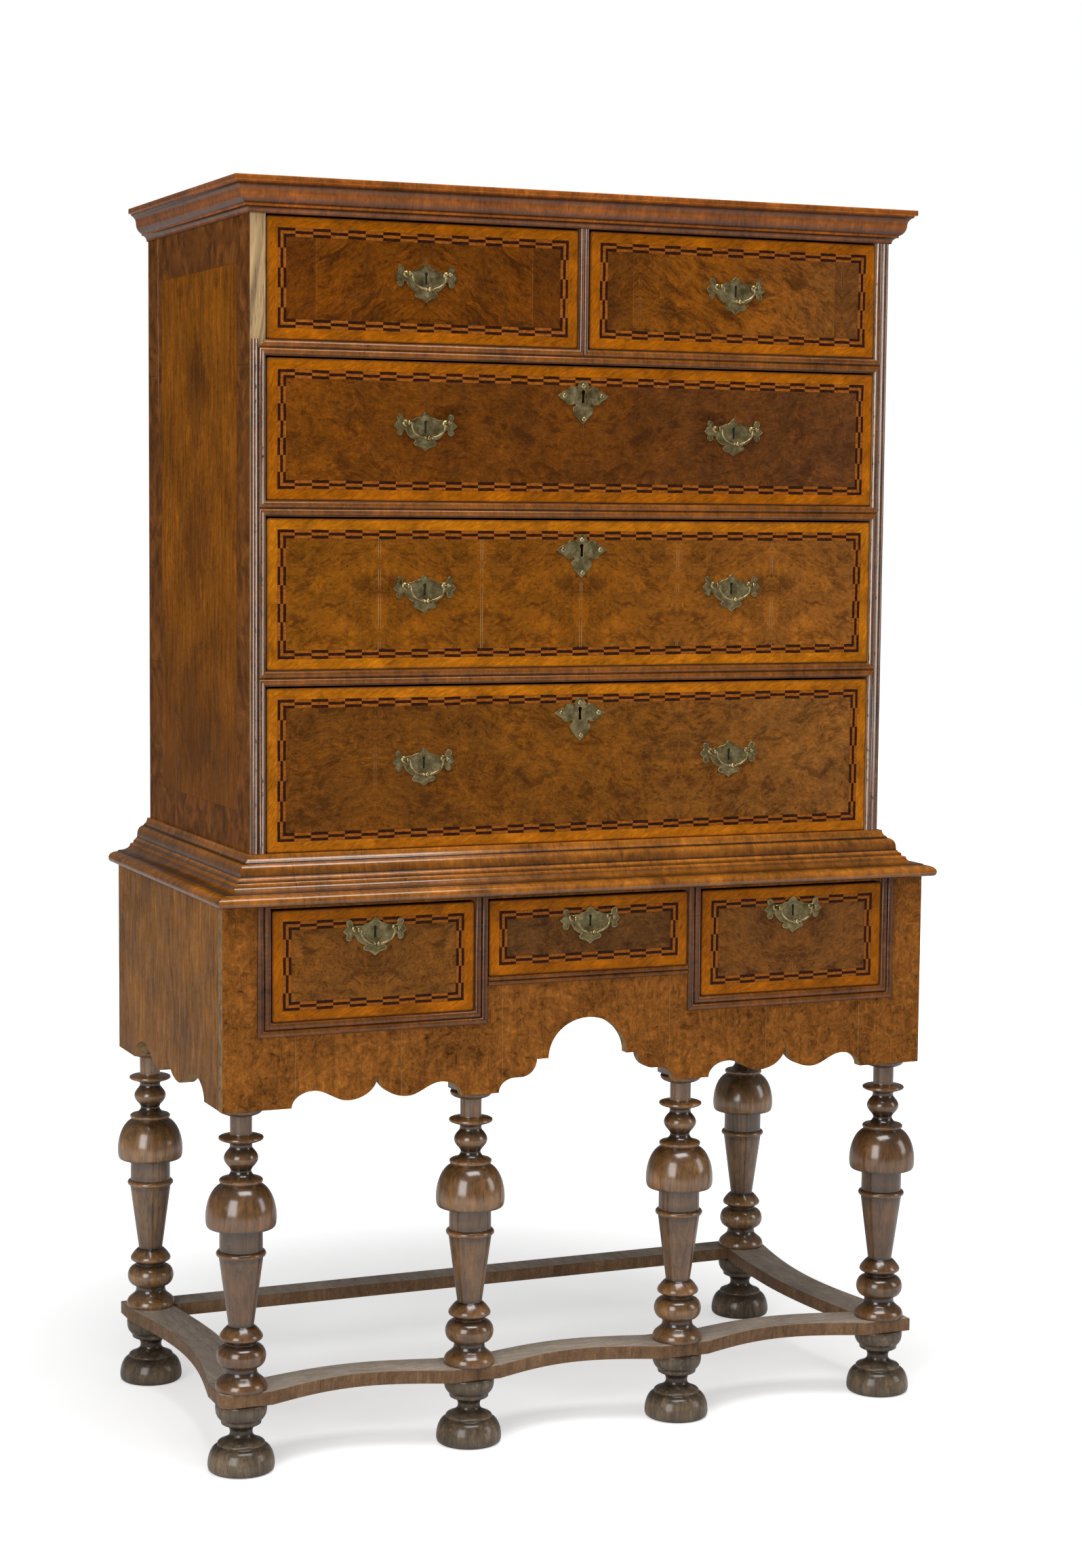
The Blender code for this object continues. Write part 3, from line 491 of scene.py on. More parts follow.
class Tree:
    """A material's node tree, drawn up in code from coordinates to shader."""

    def __init__(self, name: str) -> None:
        """Start a material with a Principled shader."""
        self.material = bpy.data.materials.new(name)
        self.material.use_nodes = True
        self.nodes = self.material.node_tree.nodes
        self.shader = self.nodes["Principled BSDF"]
        self.coordinates = self.node("TexCoord").outputs["Object"]
        self.axes = self.node("SeparateXYZ", Vector=self.coordinates).outputs

    def feed(self, target: Socket, value: object) -> None:
        """Link a socket to a target, or set the target's own value."""
        if isinstance(value, Socket):
            self.material.node_tree.links.new(value, target)
        else:
            target.default_value = value

    def node(self, kind: str, **values: object) -> bpy.types.Node:
        """A new node with its inputs fed, their names with underscores for spaces."""
        node = self.nodes.new(f"ShaderNode{kind}")
        for name, value in values.items():
            self.feed(node.inputs[name.replace("_", " ")], value)
        return node

    def set(self, **values: float) -> None:
        """Set the shader's own sockets, their names with underscores for spaces."""
        for name, value in values.items():
            self.shader.inputs[name.replace("_", " ")].default_value = value

    def axis(self, index: int) -> Socket:
        """One of the object coordinates."""
        return self.axes[index]

    def at(self, x: object, y: object, z: object) -> Socket:
        """Coordinates put together from three values."""
        return self.node("CombineXYZ", X=x, Y=y, Z=z).outputs[0]

    def mapped(
        self, scale: Triple = (1.0, 1.0, 1.0), shift: Triple = (0.0, 0.0, 0.0), vector: object = None
    ) -> Socket:
        """Coordinates stretched and shifted by a Mapping node."""
        vector = vector or self.coordinates
        return self.node("Mapping", Vector=vector, Scale=scale, Location=shift).outputs[0]

    def turned(self, vector: object, degrees: float, scale: Triple) -> Socket:
        """Coordinates turned about y, then stretched along the turned axes."""
        turn = self.node("Mapping", Vector=vector, Rotation=(0.0, math.radians(degrees), 0.0))
        return self.mapped(scale, vector=turn.outputs[0])

    def noise(
        self, vector: object, scale: float, detail: float = 4.0, rough: float = 0.55, twist: float = 0.0
    ) -> Socket:
        """Noise of a scale, from 0 to 1."""
        shape = {"Scale": scale, "Detail": detail, "Roughness": rough, "Distortion": twist}
        return self.node("TexNoise", Vector=vector, **shape).outputs[0]

    def cells(self, vector: object, scale: float) -> Socket:
        """Distance to the nearest of scattered points."""
        return self.node("TexVoronoi", Vector=vector, Scale=scale).outputs["Distance"]

    def warped(self, vector: object, scale: float, amount: float) -> Socket:
        """Coordinates pushed about by coloured noise."""
        push = self.node("VectorMath")
        push.operation = "MULTIPLY_ADD"
        self.feed(push.inputs[0], self.node("TexNoise", Vector=vector, Scale=scale).outputs["Color"])
        self.feed(push.inputs[1], (amount, amount, amount))
        self.feed(push.inputs[2], vector)
        return push.outputs[0]

    def math(self, operation: str, *values: object, clamp: bool = False) -> Socket:
        """A Math node on one to three values."""
        node = self.node("Math")
        node.operation = operation
        node.use_clamp = clamp
        for target, value in zip(node.inputs, values):
            self.feed(target, value)
        return node.outputs[0]

    def times(self, one: object, two: object) -> Socket:
        """One value times another."""
        return self.math("MULTIPLY", one, two)

    def plus(self, one: object, two: object) -> Socket:
        """One value and another."""
        return self.math("ADD", one, two)

    def minus(self, one: object, two: object) -> Socket:
        """One value less another."""
        return self.math("SUBTRACT", one, two)

    def apart(self, one: object, two: object) -> Socket:
        """How far two values are apart."""
        return self.math("ABSOLUTE", self.minus(one, two))

    def scaled(self, value: object, span: float, low: object) -> Socket:
        """A value times a span, over a low end."""
        return self.math("MULTIPLY_ADD", value, span, low)

    def blended(self, *parts: tuple[object, float]) -> Socket:
        """A weighted sum of tones."""
        total: object = 0.0
        for value, weight in parts:
            total = self.scaled(value, weight, total)
        return total

    def spread(self, value: object, low: float, high: float) -> bpy.types.Node:
        """A Map Range node that gives 0 at low and 1 at high."""
        return self.node("MapRange", Value=value, From_Min=low, From_Max=high)

    def over(self, value: object, low: float, high: float) -> Socket:
        """0 under low, 1 over high, smooth between."""
        node = self.spread(value, low, high)
        node.interpolation_type = "SMOOTHSTEP"
        return node.outputs[0]

    def near(self, value: object, at: float, width: float) -> Socket:
        """1 at a value, down to 0 a width away from it."""
        return self.minus(1.0, self.over(self.apart(value, at), 0.0, width))

    def ramp(self, value: object, stops: Sequence[tuple[float, Sequence[float]]]) -> Socket:
        """Colours along a value."""
        node = self.node("ValToRGB")
        band = node.color_ramp.elements
        for place, _ in stops[2:]:
            band.new(place)
        for element, (place, colour) in zip(band, stops):
            element.position = place
            element.color = colour
        self.feed(node.inputs[0], value)
        return node.outputs[0]

    def mix(self, share: object, one: object, two: object, blend: str = "MIX") -> Socket:
        """Two colours mixed by a share of the second."""
        node = self.node("Mix")
        node.data_type = "RGBA"
        node.blend_type = blend
        for index, value in ((0, share), (6, one), (7, two)):
            self.feed(node.inputs[index], value)
        return node.outputs[2]

    def stained(self, colour: object, mask: object, amount: float, stain: object) -> Socket:
        """A colour stained by another where a mask is 1."""
        return self.mix(self.times(mask, amount), colour, stain)

    def bump(self, height: object, depth: float, strength: float, under: object = None) -> Socket:
        """A bumped normal from a height."""
        below = {} if under is None else {"Normal": under}
        return self.node("Bump", Strength=strength, Distance=depth, Height=height, **below).outputs[0]

    def shades(self, tone: object, tint: Triple, steps: Steps, strength: float = 1.0) -> Socket:
        """A tint from dark to light along a tone.

        Args:
            tone: The value that the steps are places on.
            tint: The colour, 0 to 255.
            steps: Places, each with its share of the tint's light.
            strength: How far the shares keep away from 1.

        Returns:
            The colour.
        """
        light = srgb(*tint)[:3]
        stops = []
        for place, share in steps:
            kept = max(1.0 + (share - 1.0) * strength, 0.02)
            stops.append((place, (*(channel * kept for channel in light), 1.0)))
        return self.ramp(tone, stops)

    def by_height(self, colour: object, painted_light_bands: Steps, plain: float, contrast: float) -> Socket:
        """A colour darker or lighter by height, for painted shade and painted highlights.

        Args:
            colour: The colour to shade.
            painted_light_bands: (height, shade) from the bottom up, shade 0.5 being the middle one.
            plain: What the middle shade makes of the light: 0.5 leaves it, 1 doubles it.
            contrast: How far the other shades keep away from it.

        Returns:
            The colour.
        """
        low, high = painted_light_bands[0][0], painted_light_bands[-1][0]
        stops = []
        for height, shade in painted_light_bands:
            share = plain + (shade - 0.5) * contrast
            stops.append(((height - low) / (high - low), (*(max(2 * share, 0.1),) * 3, 1.0)))
        up = self.spread(self.axis(2), low, high).outputs[0]
        return self.mix(1.0, colour, self.ramp(up, stops), "MULTIPLY")

    def polished(
        self, colour: object, relief: object, depth: float, low: float = 0.25, span: float = 0.30
    ) -> Material:
        """Old polish over wood: the grain's relief on a gently uneven ground, and a patchy gloss."""
        ground = self.bump(self.noise(self.coordinates, 16.0, 2.0), 0.003, 0.28)
        gloss = self.scaled(self.noise(self.coordinates, 36.0), span, low)
        return self.done(colour, gloss, self.bump(relief, depth, 0.5, ground))

    def done(self, colour: object, roughness: object, normal: object = None) -> Material:
        """Feed the shader and return the material."""
        self.feed(self.shader.inputs["Base Color"], colour)
        self.feed(self.shader.inputs["Roughness"], roughness)
        if normal is not None:
            self.feed(self.shader.inputs["Normal"], normal)
        return self.material


WHITE = (1.0, 1.0, 1.0, 1.0)
DIRT = srgb(26, 14, 8)
FIGURE: Steps = ((0.38, 0.40), (0.45, 0.76), (0.50, 1.0), (0.55, 1.28), (0.63, 1.90))  # dark to light wood


class Plan:
    """The main places of the chest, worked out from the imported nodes."""

    RUN = 0.0010  # beside a drawer
    HEAD_PLAY = 0.0025  # over a drawer front
    BEAD_BASE = 0.0015  # wood behind the beads, behind the drawer fronts
    STAND_BOARD = 0.018
    STAND_BACK = 0.015

    def __init__(self) -> None:
        """Read the corners of the nodes that the rest is set out from."""
        side_low, side_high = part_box("upper_side_right")
        stand_low, stand_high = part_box("stand_front")
        self.open_x, self.case_x = side_low.x, side_high.x
        self.front_y, self.back_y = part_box("drawer_upper")[0].y, side_high.y
        self.case_z = side_low.z - FIT
        self.case_top = side_high.z
        self.cornice_z, self.top_z = (corner.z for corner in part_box("cornice_top"))
        self.stand_x = stand_high.x
        self.stand_front_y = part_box("stand_drawer_left")[0].y
        self.stand_back_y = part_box("stand_side_right")[1].y
        self.apron_z, self.stand_top = stand_low.z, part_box("waist_moulding")[0].z
        self.stretcher_z, self.leg_z = (corner.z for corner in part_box("stretcher_front"))

    @staticmethod
    def face(node: str) -> Rect:
        """The face of a drawer front."""
        low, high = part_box(node)
        return Rect(low.x, high.x, low.z, high.z)

    def opening(self, node: str) -> Rect:
        """The opening that a drawer runs in."""
        return self.face(node).grown(self.RUN, self.RUN, FIT, self.HEAD_PLAY)


PLAN = Plan()


@dataclass(frozen=True)
class BurrFront:
    """Burr walnut in book-matched leaves, a chequer inlay and a crossbanded border, for one drawer front."""

    node: str
    tints: tuple[Triple, ...]  # colour of the burr from left to right
    leaf: float  # width of a leaf of burr
    seed: float
    joint: float = 0.0  # x of a joint between two leaves
    dark_ends: float = 0.0  # width of the darker end pieces
    figure: float = 0.6  # strength of the veins
    slope: float = 12.0  # degrees that the curls rise away from a joint
    drawn: float = 0.7  # the less, the longer the curls
    band: Triple = (149, 82, 3)  # colour of the crossbanding
    split: float = 0.08  # how far the leaves have parted at their joints, 0 to 0.2

    GLOW = (1.55, 1.45, 1.0, 1.0)
    CROSSBAND = 0.0140  # width of the border
    ROW = 0.0037  # width of a row of the chequer
    BLOCK = 0.0228  # length of its blocks, near enough
    INNER = CROSSBAND + 3 * ROW  # from the edge to the burr
    BLUR = 0.00012  # softness of the lines between the veneers

    @property
    def face(self) -> Rect:
        """The face that the veneer covers."""
        return PLAN.face(self.node)

    def make(self) -> Material:
        """Build the material."""
        tree = Tree(f"veneer {self.node}")
        (cx, cz), (width, height) = self.face.middle, self.face.size
        wobble = self.wobble(tree)
        from_side = tree.plus(tree.minus(width / 2, tree.apart(tree.axis(0), cx)), wobble)
        from_edge = tree.plus(tree.minus(height / 2, tree.apart(tree.axis(2), cz)), wobble)
        depth = tree.math("MINIMUM", from_side, from_edge)
        along = tree.minus(tree.math("MAXIMUM", from_side, from_edge), self.CROSSBAND)
        upright = tree.math("LESS_THAN", from_side, from_edge)
        burr, burr_height = self.burr(tree)
        band, band_height = self.crossband(tree, upright)
        chequer = self.chequer(tree, depth, along, upright)
        in_chequer = tree.over(depth, self.CROSSBAND - self.BLUR, self.CROSSBAND + self.BLUR)
        in_burr = tree.over(depth, self.INNER - self.BLUR, self.INNER + self.BLUR)
        colour = tree.mix(in_burr, tree.mix(in_chequer, band, chequer), burr)
        outer_line = tree.near(depth, self.CROSSBAND, 0.00045)
        lines = tree.math("ADD", outer_line, tree.near(depth, self.INNER, 0.0005), clamp=True)
        colour = tree.stained(colour, lines, 0.45, DIRT)
        mitre = tree.near(tree.minus(from_side, from_edge), 0.0, 0.0005)
        colour = tree.stained(colour, tree.times(mitre, tree.minus(1.0, in_burr)), 0.5, DIRT)
        # Painted shade: the front darkens within 3 mm of its edges, beside the gap and the proud reeds
        rim = tree.minus(1.0, tree.over(depth, 0.0004, 0.0032))
        colour = tree.stained(colour, rim, 0.62, srgb(78, 40, 16))
        colour, scratch = self.wear(tree, colour)
        relief = tree.plus(tree.times(burr_height, in_burr), band_height)
        relief = tree.minus(tree.minus(relief, tree.times(lines, 0.5)), scratch)
        broad = tree.noise(tree.mapped((1.0, 1.0, 0.6), (self.seed, 0.0, 0.0)), 22.0, 2.0)
        normal = tree.bump(relief, 0.00028, 0.7, tree.bump(broad, 0.004, 0.34))
        rough = tree.scaled(tree.noise(tree.coordinates, 38.0, 5.0), 0.30, 0.18)
        tree.set(Specular_IOR_Level=0.10)
        return tree.done(colour, rough, normal)

    def wobble(self, tree: Tree) -> Socket:
        """The hand-cut unevenness of the inlay lines, in metres."""
        drift = tree.noise(tree.mapped(shift=(self.seed, 0.0, self.seed)), 26.0, 2.0)
        return tree.times(tree.minus(drift, 0.5), 0.0016)

    def burr(self, tree: Tree) -> tuple[Socket, Socket]:
        """Colour and relief of the burr: clouds and curls that mirror at each joint, dark eyes and veins."""
        matched = tree.math("PINGPONG", tree.minus(tree.axis(0), self.joint), self.leaf)
        place = tree.at(matched, self.seed, tree.axis(2))
        curled = tree.warped(tree.warped(place, 8.0, 0.050), 34.0, 0.016)
        clouds = tree.noise(curled, 11.0, 3.0, 0.60)
        mottle = tree.noise(curled, 46.0, 6.0, 0.72, 0.9)
        specks = tree.noise(curled, 210.0, 5.0, 0.80, 0.6)
        fanned = tree.turned(curled, self.slope, (self.drawn, 1.0, 1.15))
        streaks = tree.noise(fanned, 120.0, 6.0, 0.70, 1.1)
        fibres = tree.noise(tree.turned(curled, self.slope, (0.22, 1.0, 1.0)), 460.0, 3.0, 0.6, 0.4)
        parts = ((clouds, 0.12), (mottle, 0.22), (specks, 0.27), (streaks, 0.19), (fibres, 0.20))
        shade = tree.shades(tree.blended(*parts), (255.0, 255.0, 255.0), FIGURE, 1.0 + 0.25 * self.figure)
        stops = [(i / (len(self.tints) - 1), srgb(*tint)) for i, tint in enumerate(self.tints)]
        drift = tree.blended((tree.axis(0), 1.0), (clouds, 0.10))
        along = tree.spread(drift, self.face.x0 + 0.05, self.face.x1 + 0.05).outputs[0]
        colour = tree.mix(1.0, tree.ramp(along, stops), shade, "MULTIPLY")
        glow = tree.over(tree.noise(curled, 17.0, 4.0, 0.65, 0.5), 0.42, 0.60)
        colour = tree.stained(colour, glow, 0.50, tree.mix(1.0, colour, self.GLOW, "MULTIPLY"))
        curls = tree.over(tree.noise(fanned, 16.0 + 22.0 / self.drawn ** 0.4, 7.0, 0.74, 0.5), 0.49, 0.62)
        colour = tree.stained(colour, curls, 0.34 + 0.30 * self.figure, srgb(44, 20, 4))
        eyes = tree.times(tree.over(tree.cells(curled, 135.0), 0.26, 0.08), tree.over(clouds, 0.58, 0.42))
        colour = tree.stained(colour, eyes, 0.60, srgb(40, 18, 6))
        veins = tree.near(tree.noise(fanned, 44.0, 3.0, 0.6, 1.6), 0.5, 0.020)
        veins = tree.times(veins, tree.over(mottle, 0.62, 0.44))
        colour = tree.stained(colour, veins, 0.55 * self.figure, srgb(38, 16, 5))
        if self.dark_ends:
            across = tree.apart(tree.axis(0), self.face.middle[0])
            start = self.face.size[0] / 2 - self.dark_ends
            ends = tree.over(across, start - 0.0004, start + 0.0004)
            colour = tree.stained(colour, ends, 0.28, srgb(58, 28, 8))
            colour = tree.stained(colour, tree.near(across, start, 0.0007), 0.30, srgb(150, 105, 60))
        colour, joint = self.joints(tree, colour, matched)
        relief = tree.blended((streaks, 0.9), (specks, 0.5), (fibres, 0.7), (curls, -0.3), (joint, -1.2))
        return colour, relief

    def joints(self, tree: Tree, colour: Socket, matched: Socket) -> tuple[Socket, Socket]:
        """Colour with the leaves' joints, dark with a pale edge here and there, and where they are."""
        edge = tree.math("MINIMUM", matched, tree.minus(self.leaf, matched))
        drift = tree.noise(tree.mapped((1.0, 1.0, 9.0), (0.0, self.seed, 0.0)), 3.0, 3.0)
        broken = tree.over(drift, 0.58 - self.split, 0.73 - self.split)
        joint = tree.times(tree.over(edge, 0.0006, 0.0001), broken)
        colour = tree.stained(colour, joint, 0.65, DIRT)
        pale = tree.times(tree.near(edge, 0.0012, 0.0003 + 0.0025 * self.split), broken)
        return tree.stained(colour, pale, 0.2 + 3.2 * self.split, srgb(178, 132, 84)), joint

    def crossband(self, tree: Tree, upright: Socket) -> tuple[Socket, Socket]:
        """Colour and relief of the straight-grained border, its grain slanting across the band."""
        turn = tree.node("Mix")
        turn.data_type = "VECTOR"
        swapped = tree.at(tree.axis(2), self.seed, tree.axis(0))
        for index, value in ((0, upright), (4, tree.coordinates), (5, swapped)):
            tree.feed(turn.inputs[index], value)
        slant = tree.turned(turn.outputs[1], 24.0, (0.55, 1.0, 2.6))
        grain = tree.noise(slant, 150.0, 5.0, 0.66, 0.7)
        patches = tree.noise(tree.mapped(shift=(self.seed, self.seed, 0.0)), 21.0, 5.0, 0.62)
        colour = tree.shades(tree.blended((grain, 0.55), (patches, 0.45)), self.band, FIGURE, 0.75)
        cracks = tree.near(tree.noise(slant, 30.0, 4.0, 0.7, 1.0), 0.5, 0.010)
        cracks = tree.times(cracks, tree.over(patches, 0.50, 0.38))
        colour = tree.stained(colour, cracks, 0.5, srgb(72, 32, 4))
        return colour, tree.minus(tree.times(grain, 0.35), tree.times(cracks, 0.4))

    def chequer(self, tree: Tree, depth: Socket, along: Socket, upright: Socket) -> Socket:
        """Colour of the three rows of dark and light blocks."""
        flat, tall = (self.fitted(length) for length in self.face.size)
        row = tree.math("FLOOR", tree.math("DIVIDE", tree.minus(depth, self.CROSSBAND), self.ROW))
        block = tree.math("DIVIDE", along, tree.plus(flat, tree.times(upright, tall - flat)))
        odd = tree.math("PINGPONG", tree.plus(row, tree.math("FLOOR", block)), 1.0)
        grain = tree.noise(tree.mapped((1.0, 1.0, 3.0)), 240.0)
        light = tree.ramp(grain, ((0.35, srgb(118, 62, 10)), (0.65, srgb(160, 92, 26))))
        night = tree.ramp(grain, ((0.35, srgb(30, 10, 4)), (0.65, srgb(58, 26, 9))))
        end = tree.near(tree.math("FRACT", block), 0.0, 0.012)
        return tree.stained(tree.mix(odd, night, light), end, 0.5, DIRT)

    def fitted(self, length: float) -> float:
        """A block's length that divides a side evenly, with a whole block at its middle."""
        run = length / 2 - self.CROSSBAND
        return run / (round(run / self.BLOCK - 0.5) + 0.5)

    def wear(self, tree: Tree, colour: Socket) -> tuple[Socket, Socket]:
        """Colour with fine pale scratches and dark specks over the whole face, and the scratches' relief."""
        bent = tree.warped(tree.mapped((1.0, 1.0, 0.16), (self.seed, self.seed, 0.0)), 30.0, 0.02)
        scratch = tree.over(tree.cells(bent, 260.0), 0.045, 0.015)
        colour = tree.stained(colour, scratch, 0.28, srgb(190, 150, 100))
        specks = tree.over(tree.cells(tree.mapped(shift=(0.0, self.seed, 0.0)), 150.0), 0.075, 0.03)
        return tree.stained(colour, specks, 0.55, DIRT), tree.times(scratch, 0.4)


@dataclass(frozen=True)
class Veneer:
    """Straight or lightly figured walnut veneer, on one board."""

    name: str
    tint: Triple
    grain: Grain = Grain.Z
    burr: float = 0.3  # share of burr figure in it
    seed: float = 0.0
    joints: tuple[float, ...] = ()  # x of the joints between sheets
    figure: float = 0.7  # strength of light and dark

    def colour(self, tree: Tree) -> tuple[Socket, Socket]:
        """Colour and relief of the veneer."""
        stretch = self.grain.drawn(0.08)
        bent = tree.warped(tree.mapped(shift=(self.seed, self.seed, self.seed)), 7.0, 0.04)
        lines = tree.noise(tree.mapped(stretch, vector=bent), 140.0, 5.0, 0.64, 0.4)
        clouds = tree.noise(bent, 9.0, 4.0, 0.6)
        curled = tree.warped(bent, 36.0, 0.014)
        curl = tree.noise(curled, 90.0, 6.0, 0.70, 0.9)
        fine = tree.noise(bent, 260.0, 4.0, 0.7)
        parts = ((lines, 0.56 * (1 - self.burr)), (clouds, 0.26), (curl, 0.56 * self.burr), (fine, 0.18))
        colour = tree.shades(tree.blended(*parts), self.tint, FIGURE, self.figure)
        pores = tree.over(tree.noise(tree.mapped(stretch), 560.0, 2.0), 0.40, 0.30)
        colour = tree.stained(colour, pores, 0.40, srgb(42, 22, 8))
        eyes = tree.times(tree.over(tree.cells(curled, 120.0), 0.24, 0.08), tree.over(clouds, 0.54, 0.42))
        colour = tree.stained(colour, eyes, 0.7 * self.burr, srgb(48, 22, 8))
        drift = tree.blended((tree.axis(0), 1.0), (clouds, 0.004))
        for joint in self.joints:
            colour = tree.stained(colour, tree.near(drift, joint + 0.002, 0.0007), 0.5, srgb(158, 118, 76))
            colour = tree.stained(colour, tree.near(drift, joint + 0.0009, 0.0006), 0.5, srgb(46, 24, 10))
        return colour, tree.blended((lines, 1.0), (curl, 1.0), (pores, -1.0))

    def make(self) -> Material:
        """Build the material."""
        tree = Tree(self.name)
        colour, relief = self.colour(tree)
        tree.set(Specular_IOR_Level=0.07)
        return tree.polished(colour, relief, 0.00018)


@dataclass(frozen=True)
class SidePanel(Veneer):
    """The outside of a side board: a panel with dark burr flames inside a darker pieced border."""

    panel: Four = (0.0, 0.0, 0.0, 0.0)  # y0, y1, z0, z1
    border: Triple = (107, 62, 22)
    flames: tuple[Four, ...] = ()  # y, z, half width, half height
    pieced: tuple[float, ...] = (1.402, 1.011)  # heights of the border's joints
    crack: tuple[float, float] = (0.213, 1.34)  # y of the chipped joint behind the panel, and its lower end

    def make(self) -> Material:
        """Build the material."""
        tree = Tree(self.name)
        colour, relief = self.colour(tree)
        low = tree.over(tree.axis(2), 1.20, 0.84)
        colour = tree.stained(colour, low, 0.5, tree.stained(colour, low, 0.8, srgb(84, 52, 28)))
        y0, y1, z0, z1 = self.panel
        deep = tree.minus((y1 - y0) / 2, tree.apart(tree.axis(1), (y0 + y1) / 2))
        high = tree.minus((z1 - z0) / 2, tree.apart(tree.axis(2), (z0 + z1) / 2))
        inside = tree.math("MINIMUM", deep, high)
        knots = tree.noise(tree.warped(tree.coordinates, 30.0, 0.016), 60.0, 7.0, 0.72, 1.0)
        for y, z, half_y, half_z in self.flames:
            du = tree.math("DIVIDE", tree.minus(tree.axis(1), y), half_y)
            dv = tree.math("DIVIDE", tree.minus(tree.axis(2), z), half_z)
            far = tree.plus(tree.math("ABSOLUTE", du), tree.math("ABSOLUTE", dv))
            spot = tree.over(tree.blended((far, 1.0), (knots, 2.0)), 2.02, 1.62)
            colour = tree.stained(colour, spot, 0.38, srgb(58, 28, 8))
        edge = tree.noise(tree.warped(tree.mapped((1.0, 0.4, 0.3)), 24.0, 0.03), 110.0, 6.0, 0.68, 0.6)
        border = tree.shades(edge, self.border, FIGURE, 0.7)
        for height in self.pieced:
            border = tree.stained(border, tree.near(tree.axis(2), height, 0.0009), 0.6, DIRT)
        colour = tree.mix(tree.over(inside, -0.0003, 0.0003), border, colour)
        seam = tree.near(inside, 0.0, 0.0008)
        colour = tree.stained(colour, seam, 0.35, srgb(52, 28, 12))
        wander = tree.blended((tree.axis(1), 1.0), (tree.noise(tree.coordinates, 24.0, 4.0), 0.008))
        crack_y, crack_z = self.crack
        chips = tree.times(tree.near(wander, crack_y + 0.004, 0.0020), tree.over(knots, 0.36, 0.48))
        chips = tree.times(chips, tree.over(tree.axis(2), crack_z, crack_z + 0.05))
        colour = tree.stained(colour, chips, 0.8, srgb(178, 142, 106))
        tree.set(Specular_IOR_Level=0.03)
        relief = tree.blended((relief, 1.0), (seam, -1.0), (chips, 1.5))
        return tree.polished(colour, relief, 0.0002, 0.32)


@dataclass(frozen=True)
class CrossGrain:
    """Cross-grained walnut moulding, laid in short lengths, with painted highlights on its arrises and
    painted shade, partly grime, in its grooves.
    """

    name: str
    tint: Triple
    run: Grain  # the axis that the moulding runs along
    seed: float = 0.0
    joints: tuple[float, ...] = ()  # where the lengths meet, along the run
    painted_light_bands: Steps = ()  # (height, shade) up the moulding: painted shade in the grooves and painted highlights on the arrises, shade 0.5 leaves it as it is
    gloss: float = 0.10
    polish: float = 0.75  # weight of a hard bright coat of polish
    painted_highlight_xs: tuple[float, ...] = ()  # x of the painted highlight lines along upright reeds, partly rubbed finish

    def make(self) -> Material:
        """Build the material."""
        tree = Tree(self.name)
        stretch = self.run.drawn(1.0, 0.22)
        bent = tree.warped(tree.mapped(shift=(self.seed, self.seed, self.seed)), 10.0, 0.03)
        lines = tree.noise(tree.mapped(stretch, vector=bent), 230.0, 5.0, 0.68, 0.6)
        clouds = tree.noise(bent, 13.0, 5.0, 0.62)
        broken = tree.noise(bent, 90.0, 5.0, 0.7)
        tone = tree.blended((lines, 0.26), (clouds, 0.42), (broken, 0.32))
        colour = tree.shades(tone, self.tint, FIGURE, 1.0)
        # Painted shade in the grooves, partly grime, and painted highlights on the arrises, by height
        if self.painted_light_bands:
            colour = tree.by_height(colour, self.painted_light_bands, 0.5, 2.3)
        gaps: object = 0.0
        drift = tree.blended((tree.axis(self.run.value), 1.0), (clouds, 0.004))
        for joint in self.joints:
            gaps = tree.math("MAXIMUM", gaps, tree.near(drift, joint + 0.002, 0.0007))
        if self.joints:
            colour = tree.stained(colour, gaps, 0.7, DIRT)
        rubbed = tree.over(tree.noise(tree.coordinates, 70.0, 5.0, 0.7), 0.58, 0.70)
        colour = tree.stained(colour, rubbed, 0.14, srgb(196, 146, 92))
        # Painted highlights: pale lines along the reeds that stand in for their shine, partly rubbed finish
        for highlight_x in self.painted_highlight_xs:
            line = tree.near(tree.blended((tree.axis(0), 1.0), (broken, 0.0012)), highlight_x + 0.0006, 0.0011)
            line = tree.times(line, tree.over(broken, 0.30, 0.46))
            colour = tree.stained(colour, line, 0.70, srgb(240, 220, 204))
        tree.set(Coat_Weight=self.polish, Coat_Roughness=0.10, Coat_IOR=1.85, Specular_IOR_Level=0.15)
        relief = tree.blended((lines, 1.0), (broken, 1.0), (gaps, -1.0))
        return tree.polished(colour, relief, 0.00012, self.gloss, 0.28)


@dataclass(frozen=True)
class OakBoard:
    """Old unpolished oak or pine inside the chest and behind it."""

    name: str
    tint: Triple
    grain: Grain
    age: float = 0.4  # grime

    def make(self) -> Material:
        """Build the material."""
        tree = Tree(self.name)
        stretch = self.grain.drawn(0.05)
        bent = tree.warped(tree.coordinates, 3.0, 0.05)
        lines = tree.noise(tree.mapped(stretch, vector=bent), 90.0, 6.0, 0.62, 0.3)
        pores = tree.over(tree.noise(tree.mapped(stretch), 700.0, 2.0, 0.6), 0.42, 0.30)
        clouds = tree.noise(tree.coordinates, 5.0, 5.0, 0.6)
        colour = tree.shades(lines, self.tint, ((0.32, 0.42), (0.50, 1.0), (0.68, 1.4)))
        colour = tree.stained(colour, pores, 0.5, srgb(48, 30, 16))
        colour = tree.stained(colour, tree.over(clouds, 0.62, 0.38), self.age, srgb(50, 36, 24))
        tree.set(Specular_IOR_Level=0.3)
        gloss = tree.scaled(clouds, 0.2, 0.55)
        return tree.done(colour, gloss, tree.bump(tree.minus(lines, pores), 0.0003, 0.6))


